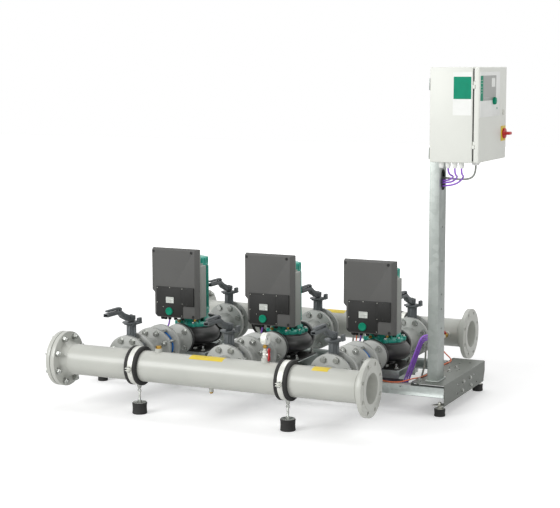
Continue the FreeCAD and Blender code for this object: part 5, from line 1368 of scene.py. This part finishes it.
def makeColumn():
    post = rounded(fromNode("columnPost", "column"), 0.0022, 3, 60)
    for z in column["holes"]:
        cutAway(post, rod("hole", 0.0048, (column["face"] - 0.006, column["middle"], z),
            (column["face"] + 0.006, column["middle"], z), 20))
    # the post takes the column's darker copy of the zinc, which is in part painted shade
    dress(smoothed(post), "frame", "zincColumnShaded", "galvanised", "column")
    wide, high, edge = column["slotWide"], column["slotHigh"], column["ringWidth"]
    ring = facing("slotRing", stadium(column["middle"], column["slotZ"], wide + 2 * edge,
        high + 2 * edge), column["face"] - 0.0015, 0.0045)
    cutAway(ring, facing("inside", stadium(column["middle"], column["slotZ"], wide - 0.002, high - 0.002),
        column["face"] - 0.01, 0.03))
    dress(finished(ring, 0.0012, 2, 60), "frame", "liner", "rubber")
    screwsAt("columnScrews", [(x, y, 0.150) for x in (0.7020, 0.7570) for y in (-0.1315, -0.0345)],
        (0, 0, 0), 0.0055, 0.003, 0.0032)
    spots = [(column["face"], y, z) for y in (-0.250, -0.180, 0.010, 0.085) for z in (1.180, 1.475)]
    screwsAt("bracketScrews", spots, (0, -quarterTurn, 0), 0.010, 0.005, 0.008)


makeColumn()
print("column made")

# cabinet: rounded shell, side panel with its green field, gland plate; door with fascia, display and controls
cabinet = {"left": 0.7575, "right": 0.9475, "front": -0.283, "rear": 0.117, "low": 1.143, "top": 1.547,
    "edge": 0.004, "rim": 0.009, "rimDeep": 0.010, "doorBack": 0.9605, "doorEdge": 0.9535, "wall": 0.002,
    "edgeWall": 0.006, "doorRoom": 0.015, "sealOut": 0.0066, "sealIn": 0.0086, "doorFace": 0.9775,
    "hingeX": 0.954, "hingeY": -0.2785, "hingeLow": (1.203, 1.457), "hingeHigh": 0.030, "knuckle": 0.0042}
fascia = {"front": -0.279, "rear": 0.007, "low": 1.335, "top": 1.527, "thick": 0.0025,
    "greenEnd": -0.2405, "paneEnd": -0.052, "fieldLow": 1.405, "fieldTop": 1.511, "dialY": -0.088,
    "dialZ": 1.402, "bore": 0.0054, "dotY": -0.035, "dotZ": 1.369,
    "marks": (1.490, 1.478, 1.462, 1.450, 1.438), "digits": (-0.225, -0.205, -0.185, -0.165)}
doorPart = {"switchY": 0.070, "switchZ": 1.255, "switchPlate": 0.033, "lockY": 0.069, "lockZ": 1.348,
    "switchBore": 0.0084, "lockBore": 0.0104}


# a block of the cabinet's outline, drawn in all round, from one place along X to another
def slab(name, near, far, inset=0.0, edge=0.0):
    c = cabinet
    return block(name, (near, c["front"] + inset, c["low"] + inset),
        (far, c["rear"] - inset, c["top"] - inset), edge)


# room round each hinge, cut at the cabinet's front edge
def cutHingeRooms(piece, near, far):
    c = cabinet
    for z in c["hingeLow"]:
        cutAway(piece, block("room", (near, c["front"] - 0.01, z - 0.001),
            (far, c["front"] + 0.010, z + c["hingeHigh"] + 0.001)))


# half of a hinge: a barrel, and a leaf from the barrel to the piece it belongs to
def hingeHalf(low, high, near, far):
    c = cabinet
    x, y = c["hingeX"], c["hingeY"]
    return [rod("barrel", c["knuckle"], (x, y, low), (x, y, high), 24, 0.0006),
        block("leaf", (near, y - 0.004, low), (far, y + 0.004, high), 0.0006)]


def makeCabinet():
    c = cabinet
    wall, edge = c["wall"], c["rim"]
    shell = slab("shell", c["left"], c["right"], 0, c["edge"])
    cutAway(shell, slab("room", c["left"] + wall, c["right"] - wall, wall))
    rim = slab("rim", c["right"] - 0.001, c["right"] + c["rimDeep"], edge, 0.002)
    for piece in (rim, shell):
        cutAway(piece, slab("mouth", c["right"] - 0.02, c["right"] + 0.03, edge + wall))
    seam = block("glandPlate", (c["left"] + 0.020, c["front"] + 0.014, c["low"] - 0.0016),
        (c["right"] - 0.012, c["rear"] - 0.080, c["low"] + 0.001), 0.0008)
    whole = smoothed(joined("cabinetShell", [shell, rim, seam]))
    dress(whole, "frame", "cabinetPaint", "cabinet_paint", "cabinet_body")
    leaves = []
    for z in c["hingeLow"]:
        leaves += hingeHalf(z, z + 0.0148, c["right"], c["hingeX"])
        leaves.append(rod("pin", 0.003, (c["hingeX"], c["hingeY"], z + 0.01),
            (c["hingeX"], c["hingeY"], z + 0.0298), 16))
    hinges = smoothed(joined("cabinetHinges", leaves))
    dress(hinges, "frame", "cabinetPaint", "cabinet_paint")
    face = c["front"]
    panel = block("sidePanel", (0.8605, face - 0.0007, 1.344), (0.9435, face + 0.001, 1.527), 0.0003)
    dress(panel, "frame", "whitePlastic", "white_plastic")
    field = block("sideField", (0.8635, face - 0.0011, 1.413), (0.9415, face + 0.001, 1.507), 0.0002)
    dress(field, "frame", "greenPlastic", "green_plastic")


def makeDoor():
    c, f, d = cabinet, fascia, doorPart
    door = rounded(slab("cabinetDoor", c["doorEdge"], c["doorFace"]), 0.005, 4, 60)
    cutAway(door, slab("edgeRoom", c["doorEdge"] - 0.01, c["doorBack"] + 0.0001, c["edgeWall"]))
    cutHingeRooms(door, c["doorEdge"] - 0.01, c["doorBack"] - 0.0005)
    cutAway(door, slab("room", c["doorBack"] - 0.01, c["doorFace"] - c["wall"], c["doorRoom"]))
    for y, z, radius in ((d["switchY"], d["switchZ"], d["switchBore"]),
            (d["lockY"], d["lockZ"], d["lockBore"]), (f["dialY"], f["dialZ"], f["bore"])):
        cutAway(door, rod("bore", radius, (c["doorBack"], y, z), (c["doorFace"] + 0.01, y, z), 32))
    dress(smoothed(door, 40), "door", "cabinetPaint", "cabinet_paint", "cabinet_door")
    knuckles = []
    for z in c["hingeLow"]:
        knuckles += hingeHalf(z + 0.0153, z + c["hingeHigh"], c["hingeX"], c["doorBack"] + 0.001)
    arms = smoothed(joined("doorHinges", knuckles))
    dress(arms, "door", "cabinetPaint", "cabinet_paint")
    front = c["doorFace"]
    # dark strips round the gap between shell and door, drawn as seals: painted shade in the gap
    gapShade = slab("shellGapShade", c["right"] + 0.0003, c["doorBack"] - 0.0012, c["sealOut"])
    cutAway(gapShade, slab("inside", c["right"] - 0.01, c["doorBack"] + 0.01, c["sealIn"]))
    cutHingeRooms(gapShade, c["right"] - 0.01, c["doorBack"] + 0.01)
    dress(gapShade, "frame", "liner", "rubber")
    rim = slab("doorGapShade", c["doorBack"] - 0.0022, c["doorBack"] + 0.002, 0.012, 0.0008)
    cutAway(rim, slab("inside", c["doorBack"] - 0.01, c["doorBack"] + 0.01, 0.020))
    dress(rim, "door", "liner", "rubber")
    sheet = block("fascia", (front, f["front"], f["low"]), (front + f["thick"], f["rear"], f["top"]), 0.001)
    cutAway(sheet, rod("bore", f["bore"], (front - 0.01, f["dialY"], f["dialZ"]),
        (front + 0.01, f["dialY"], f["dialZ"]), 32))
    dress(smoothed(sheet), "door", "whitePlastic", "white_plastic")
    over = front + f["thick"]
    green = block("fasciaGreen", (over - 0.001, f["front"] + 0.0008, f["fieldLow"]),
        (over + 0.0004, f["greenEnd"], f["fieldTop"]))
    dot = rod("dot", 0.0052, (over - 0.001, f["dotY"], f["dotZ"]), (over + 0.0004, f["dotY"], f["dotZ"]), 28)
    dress(joined("fasciaGreen", [green, dot]), "door", "greenPlastic", "green_plastic")
    pane = block("fasciaPane", (over - 0.001, f["greenEnd"], f["fieldLow"]),
        (over + 0.0004, f["paneEnd"], f["fieldTop"]))
    dress(pane, "door", "greyPane", "display_plastic")
    window = block("fasciaWindow", (over - 0.001, -0.120, 1.462), (over + 0.0008, -0.070, 1.500), 0.0003)
    dress(window, "door", "displayPane", "display_plastic")
    thick = over + 0.0007
    marks = [block("mark", (over, -0.266, z), (thick, -0.253, z + 0.0022)) for z in f["marks"]]
    marks += [block("mark", (over, y, 1.416), (thick, y + 0.010, 1.4175)) for y in f["digits"]]
    dress(joined("fasciaMarks", marks), "door", "whitePlastic", "display_plastic")
    half = d["switchPlate"]
    plate = block("switchPlate", (front, d["switchY"] - half, d["switchZ"] - half),
        (front + 0.003, d["switchY"] + half, d["switchZ"] + half), 0.0014)
    collar = turned("collar", 48, [(0.0245, 0), (0.0275, 0), (0.0265, 0.0018), (0.0245, 0.0018)], ring=True)
    place(collar, (front + 0.0028, d["switchY"], d["switchZ"]), towardX)
    plate = joined("switchPlate", [plate, collar])
    cutAway(plate, rod("bore", d["switchBore"], (front - 0.01, d["switchY"], d["switchZ"]),
        (front + 0.01, d["switchY"], d["switchZ"]), 32))
    dress(smoothed(plate), "door", "yellowPlastic", "white_plastic")


# main switch handle, door lock and operating dial, each on a body of its own
def makeControls():
    c, f, d = cabinet, fascia, doorPart
    start = c["doorFace"] + 0.0033
    disc = turned("disc", 48, [(0.023, 0), (0.023, 0.007), (0.0215, 0.009), (0.0165, 0.0098)])
    place(disc, (start, d["switchY"], d["switchZ"]), towardX)
    bar = block("bar", (start, d["switchY"] - 0.0205, d["switchZ"] - 0.0065),
        (start + 0.0333, d["switchY"] + 0.0205, d["switchZ"] + 0.0065), 0.0035)
    shaft = rod("shaft", 0.008, (c["doorBack"], d["switchY"], d["switchZ"]),
        (start + 0.001, d["switchY"], d["switchZ"]), 28)
    handle = smoothed(joined("mainSwitch", [disc, bar, shaft]))
    dress(handle, "main_switch", "redPlastic", "red_plastic", "main_switch_handle")
    barrel = turned("barrel", 40, [(0.010, 0), (0.010, 0.0172), (0.0125, 0.0174), (0.0125, 0.0190),
        (0.0115, 0.0200)])
    cutAway(barrel, block("key", (-0.0045, -0.0015, 0.0170), (0.0045, 0.0015, 0.0240)))
    cutAway(barrel, rod("keyHole", 0.0030, (0, 0, 0.0170), (0, 0, 0.0240), 20))
    place(barrel, (c["doorBack"], d["lockY"], d["lockZ"]), towardX)
    cam = block("cam", (c["doorBack"], d["lockY"] - 0.008, d["lockZ"] - 0.007),
        (c["doorBack"] + 0.003, d["lockY"] + 0.022, d["lockZ"] + 0.007), 0.001)
    lock = smoothed(joined("doorLock", [barrel, cam]))
    dress(lock, "lock", "zincBright", "zinc", "door_lock")
    knob = turned("knob", 48, [(0.0150, 0), (0.0150, 0.0085), (0.0138, 0.0112), (0.0110, 0.0120)])
    grips = ringOf("grips", rod("grip", 0.0010, (0.0149, 0, 0.0008), (0.0149, 0, 0.0084), 8), 28)
    knob = place(joined("knob", [knob, grips]), (start, f["dialY"], f["dialZ"]), towardX)
    shaft = rod("shaft", 0.005, (c["doorFace"], f["dialY"], f["dialZ"]),
        (start + 0.001, f["dialY"], f["dialZ"]), 24)
    dial = smoothed(joined("operatingDial", [knob, shaft]))
    dress(dial, "dial", "greenPlastic", "green_plastic", "operating_dial")


# glands: hexagon, domed cap and a lip round the lead
glands = {"small": (0.8035, 0.8335, 0.8635, 0.8935), "y": -0.253, "large": (0.8915, -0.045), "low": 1.117,
    "top": 1.143, "radius": 0.0122, "bore": 0.0042, "largeRadius": 0.0200, "largeBore": 0.0048}


def makeGlands():
    low, top = glands["low"], glands["top"]
    caps = []
    places = [(x, glands["y"], glands["radius"], glands["bore"]) for x in glands["small"]]
    places.append((*glands["large"], glands["largeRadius"], glands["largeBore"]))
    for x, y, radius, bore in places:
        cap = turned("cap", 32, [(bore, low + 0.001), (radius * 0.62, low), (radius * 0.80, low + 0.003),
            (radius * 0.88, low + 0.009), (radius * 0.88, low + 0.011)])
        nut = turned("nut", 6, [(radius, low + 0.0105), (radius, low + 0.0165)])
        collar = turned("collar", 32, [(radius * 0.80, low + 0.016), (radius * 0.80, low + 0.0185)])
        flange = turned("flange", 6, [(radius * 1.04, low + 0.0185), (radius * 1.04, top)])
        caps.append(place(joined("gland", [cap, nut, collar, flange]), (x, y, 0)))
    whole = finished(joined("glands", caps), 0.0006, 1, 50)
    dress(whole, "frame", "whitePlastic", "white_plastic", "cable_glands")


makeCabinet()
makeDoor()
makeControls()
makeGlands()
print("cabinet made")

# fittings on the headers: plug and drain, gauge on its cock, sensor on its cock
fitting = {"gaugeX": 0.1605, "plugX": -0.3665, "drainX": -0.1025, "drainLow": 0.126, "socket": 0.0168,
    "sensorX": 0.5515, "socketTop": 0.0858, "gaugeZ": 0.392, "gaugeBack": 0.1475, "gaugeFront": 0.1735,
    "gauge": 0.0265, "leverX": 0.178, "cockZ": 0.32285, "sensorCockY": 0.572}


def makeFittings():
    f, y, z = fitting, -headerY, axisZ
    top = z + f["socketTop"]
    sockets = []
    for x in (f["gaugeX"], f["plugX"]):
        sockets.append(rod("socket", f["socket"], (x, y, top - 0.0185), (x, y, top), 32, 0.0008))
    sockets.append(rod("socket", f["socket"], (f["sensorX"], 0.6080, z), (f["sensorX"], 0.5895, z), 32,
        0.0008))
    sockets.append(rod("socket", 0.0105, (f["drainX"], y, z - 0.0680),
        (f["drainX"], y, f["drainLow"] + 0.008), 28, 0.0006))
    sockets = smoothed(joined("headerSockets", sockets))
    dress(sockets, "frame", "headerPaint", "header_steel")
    drain = [rod("plug", 0.0088, (f["drainX"], y, f["drainLow"] + 0.0085),
        (f["drainX"], y, f["drainLow"] + 0.0035), 28, 0.0005),
        rod("head", 0.0062, (f["drainX"], y, f["drainLow"] + 0.0040), (f["drainX"], y, f["drainLow"]), 6,
        0.0006)]
    dress(joined("drainPlug", drain), "frame", "brass", "brass")
    plug = [turned("plug", 6, [(0.0135, top - 0.001), (0.0135, top + 0.0105), (0.0120, top + 0.0120)]),
        turned("collar", 32, [(0.0142, top - 0.001), (0.0142, top + 0.0022)])]
    plug = place(joined("headerPlug", plug), (f["plugX"], y, 0))
    valve = [turned("lower", 6, [(0.0125, top - 0.001), (0.0125, top + 0.009), (0.0105, top + 0.010)]),
        turned("middle", 32, [(0.0085, top + 0.009), (0.0112, top + 0.013), (0.0112, top + 0.021),
        (0.0085, top + 0.025)]), turned("upper", 6, [(0.0105, top + 0.024), (0.0120, top + 0.025),
        (0.0120, top + 0.0335)]), turned("joint", 32, [(0.0070, top + 0.033), (0.0070, top + 0.044)])]
    valve = place(joined("gaugeCock", valve), (f["gaugeX"], y, 0))
    bonnet = rod("bonnet", 0.0062, (f["gaugeX"], y, f["cockZ"]), (f["leverX"] - 0.0008, y, f["cockZ"]),
        24, 0.0006)
    body = [turned("inlet", 6, [(0.0125, 0.0015), (0.0125, 0.010), (0.0105, 0.0115)]),
        turned("ball", 32, [(0.0090, 0.011), (0.0118, 0.014), (0.0118, 0.022), (0.0090, 0.025)]),
        turned("outlet", 6, [(0.0120, 0.0245), (0.0120, 0.0330), (0.0110, 0.0345)])]
    body = place(joined("sensorCock", body), (f["sensorX"], 0.5895, z), awayY)
    stem = rod("stem", 0.0060, (f["sensorX"], f["sensorCockY"], z),
        (f["sensorX"], f["sensorCockY"], z + 0.0108), 24)
    nut = [turned("nut", 6, [(0.0098, f["gaugeZ"] - 0.040), (0.0105, f["gaugeZ"] - 0.039),
        (0.0105, f["gaugeZ"] - 0.031), (0.0098, f["gaugeZ"] - 0.030)]),
        turned("stem", 24, [(0.0055, f["gaugeZ"] - 0.043), (0.0055, f["gaugeZ"] - 0.020)])]
    nut = place(joined("gaugeNut", nut), (f["gaugeX"], y, 0))
    sensor = [turned("hex", 6, [(0.0115, 0.001), (0.0115, 0.010), (0.0105, 0.011)]),
        turned("barrel", 36, [(0.0098, 0.010), (0.0098, 0.040), (0.0088, 0.043), (0.0070, 0.046),
        (0.0070, 0.056), (0.0050, 0.060)])]
    sensor = place(joined("sensorBody", sensor), (f["sensorX"], 0.5560, z), awayY)
    whole = finished(joined("brassFittings", [plug, nut, body, stem]), 0.0005, 1, 50)
    dress(whole, "frame", "brass", "brass", "brass_fittings")
    steel = finished(joined("sensorAndCock", [valve, bonnet, sensor]), 0.0005, 1, 50)
    dress(steel, "frame", "bandSteel", "steel_fittings")


def makeGauge():
    f, y = fitting, -headerY
    deep = f["gaugeFront"] - f["gaugeBack"]
    radius = f["gauge"]
    case = turned("gaugeCase", 64, [(0.010, 0), (radius - 0.0030, 0.0015), (radius - 0.0015, 0.0035),
        (radius - 0.0015, deep - 0.0075), (radius, deep - 0.0070), (radius, deep + 0.0010),
        (radius - 0.0012, deep + 0.0022), (radius - 0.0032, deep + 0.0022),
        (radius - 0.0036, deep - 0.0008), (0.004, deep - 0.0008)])
    ribs = ringOf("ribs", rod("rib", 0.0007, (radius - 0.0014, 0, 0.004),
        (radius - 0.0014, 0, deep - 0.008), 8), 40)
    case = smoothed(joined("gaugeCase", [case, ribs]))
    place(case, (f["gaugeBack"], y, f["gaugeZ"]), towardX)
    dress(case, "frame", "bandSteel", "steel_fittings", "instruments")
    front = f["gaugeFront"] - 0.0010
    dial = place(turned("gaugeDial", 56, [(radius - 0.0036, 0), (radius - 0.0036, 0.0006)]),
        (front, y, f["gaugeZ"]), towardX)
    dress(dial, "frame", "whitePlastic", "white_plastic")
    ticks = []
    for step in range(19):
        angle = math.radians(-45 + 15 * step)
        inner = radius * (0.62 if step % 3 else 0.54)
        start = (front + 0.0006, y + inner * math.cos(angle), f["gaugeZ"] + inner * math.sin(angle))
        end = (front + 0.0006, y + radius * 0.76 * math.cos(angle),
            f["gaugeZ"] + radius * 0.76 * math.sin(angle))
        ticks.append(rod("tick", 0.00035, start, end, 6))
    dress(joined("gaugeTicks", ticks), "frame", "blackSteel", "black_steel")
    needle = [rod("hub", 0.0026, (front + 0.0009, y, f["gaugeZ"]), (front + 0.0022, y, f["gaugeZ"]), 24),
        outlined("hand", [(-0.0008, -0.006), (0.0008, -0.006), (0.0003, 0.0165), (-0.0003, 0.0165)],
        0.0006)]
    place(needle[1], (front + 0.0012, y, f["gaugeZ"]), (quarterTurn, 0, quarterTurn))
    dress(joined("gaugeNeedle", needle), "pointer", "blackSteel", "black_steel", "gauge_pointer")


# the red levers of the gauge cock and the sensor cock
def makeCockLevers():
    f, y = fitting, -headerY
    wings = outlined("wings", [(-0.0060, -0.004), (-0.0100, -0.020), (-0.0090, -0.0265),
        (-0.0040, -0.0280), (0.0040, -0.0280), (0.0090, -0.0265), (0.0100, -0.020), (0.0060, -0.004),
        (0.0060, 0.004), (0.0100, 0.020), (0.0090, 0.0265), (0.0040, 0.0280), (-0.0040, 0.0280),
        (-0.0090, 0.0265), (-0.0100, 0.020), (-0.0060, 0.004)], 0.0040)
    place(wings, (f["leverX"], y, f["cockZ"]), (quarterTurn, 0, quarterTurn))
    nut = rod("hubNut", 0.0048, (f["leverX"] + 0.0030, y, f["cockZ"]),
        (f["leverX"] + 0.0062, y, f["cockZ"]), 6, 0.0005)
    whole = finished(joined("gaugeCockLever", [wings, nut]), 0.0009, 2, 40)
    dress(whole, "gauge_lever", "redPlastic", "red_plastic", "gauge_cock_lever")
    x, z = f["sensorX"], axisZ + 0.0112
    grip = facing("grip", [(0.0065, 0.0), (-0.0080, 0.0), (-0.0180, 0.0095), (-0.0420, 0.0095),
        (-0.0450, 0.0125), (-0.0420, 0.0170), (-0.0160, 0.0170), (-0.0050, 0.0040), (0.0065, 0.0040)],
        -0.0068, 0.0136)
    place(grip, (x, f["sensorCockY"], z))
    nut = rod("hubNut", 0.0045, (x, f["sensorCockY"], z + 0.0030), (x, f["sensorCockY"], z + 0.0064), 6,
        0.0005)
    whole = finished(joined("sensorCockLever", [grip, nut]), 0.0009, 2, 40)
    dress(whole, "sensor_lever", "redPlastic", "red_plastic", "sensor_cock_lever")


# plain yellow patches on the headers: x range, angles from the top towards the front, header's side
patches = ((-0.1945, -0.0305, -14, 31, -1), (0.3935, 0.4675, -14, 30, -1), (-0.1405, -0.0205, -27, 30, 1))


def makePatches():
    inner, outer = header["pipe"] - 0.0003, header["pipe"] + 0.0005
    parts = []
    for left, right, rear, front, way in patches:
        turns = [math.radians(rear + (front - rear) * step / 12) for step in range(13)]
        corners = [(-outer * math.sin(turn), outer * math.cos(turn)) for turn in turns]
        corners += [(-inner * math.sin(turn), inner * math.cos(turn)) for turn in reversed(turns)]
        parts.append(place(facing("patch", corners, left, right - left), (0, way * headerY, axisZ)))
    whole = smoothed(joined("headerPatches", parts))
    dress(whole, "frame", "yellowPlastic", "white_plastic")


makeFittings()
makeGauge()
makeCockLevers()
makePatches()
print("fittings made")

# soft studio light, a white background and a pale floor that keeps the shadow
studio = {"fill": 0.46, "floorGlow": 0.30, "glowStart": 1.8, "glowEnd": 4.2, "floorShade": 0.86,
    "aim": (0, 0, 0.4)}
lamps = {      # name: spot, size, power
    "keyLight": ((-2.6, -5.4, 3.1), 3.2, 220),
    "sideLight": ((5.0, -2.4, 3.4), 2.6, 60),
    "topLight": ((0.0, 1.2, 4.6), 3.4, 66),
}


# the fill lights the object, and the camera and mirroring surfaces see plain white
def makeWorld():
    world = bpy.data.worlds.new("studio")
    bpy.context.scene.world = world
    world.use_nodes = True
    tree = world.node_tree
    soft = tree.nodes["Background"]
    soft.inputs["Color"].default_value = (1, 1, 1, 1)
    soft.inputs["Strength"].default_value = studio["fill"]
    white = addNode(tree, "Background", {"Color": (1, 1, 1, 1), "Strength": 1.0})
    rays = addNode(tree, "LightPath")
    either = addNode(tree, "Math")
    mirrored = addNode(tree, "Math")
    either.operation = mirrored.operation = "MAXIMUM"
    mix = addNode(tree, "MixShader")
    wire(tree, (rays, "Is Camera Ray", either, 0), (rays, "Is Transmission Ray", either, 1),
        (either, "Value", mirrored, 0), (rays, "Is Glossy Ray", mirrored, 1),
        (mirrored, "Value", mix, "Fac"), (soft, "Background", mix, 1), (white, "Background", mix, 2),
        (mix, "Shader", tree.nodes["World Output"], "Surface"))


def makeLamp(name, spot, size, power):
    data = bpy.data.lights.new(name, "AREA")
    data.size = size
    data.energy = power
    lamp = bpy.data.objects.new(name, data)
    bpy.context.collection.objects.link(lamp)
    lamp.location = spot
    lamp.rotation_euler = (Vector(studio["aim"]) - Vector(spot)).to_track_quat("-Z", "Y").to_euler()


# the floor glows white for the camera, less near the object, where its shadow shows
def makeFloor():
    deselectAll()
    bpy.ops.mesh.primitive_plane_add(size=40, location=(0, 0, 0))
    floor = bpy.context.object
    floor.name = "floor"
    material = newMaterial("paleFloor")
    tree = material.node_tree
    shader = tree.nodes["Principled BSDF"]
    shade = studio["floorShade"]
    for socket, value in (("Base Color", (shade, shade, shade, 1)), ("Roughness", 0.9),
            ("Specular IOR Level", 0.1), ("Emission Color", (1, 1, 1, 1))):
        shader.inputs[socket].default_value = value
    rays = addNode(tree, "LightPath")
    glow = addNode(tree, "Math")
    glow.operation = "MULTIPLY"
    spots = addNode(tree, "TexCoord")
    distance = addNode(tree, "VectorMath")
    distance.operation = "LENGTH"
    fade = addNode(tree, "MapRange", {"From Min": studio["glowStart"], "From Max": studio["glowEnd"],
        "To Min": studio["floorGlow"], "To Max": 1.0})
    wire(tree, (spots, "Object", distance, 0), (distance, "Value", fade, "Value"),
        (fade, "Result", glow, 1), (rays, "Is Camera Ray", glow, 0),
        (glow, "Value", shader, "Emission Strength"))
    floor.data.materials.append(material)


makeWorld()
for name, (spot, size, power) in lamps.items():
    makeLamp(name, spot, size, power)
makeFloor()
bpy.context.scene.view_settings.view_transform = "Standard"
print("studio set")
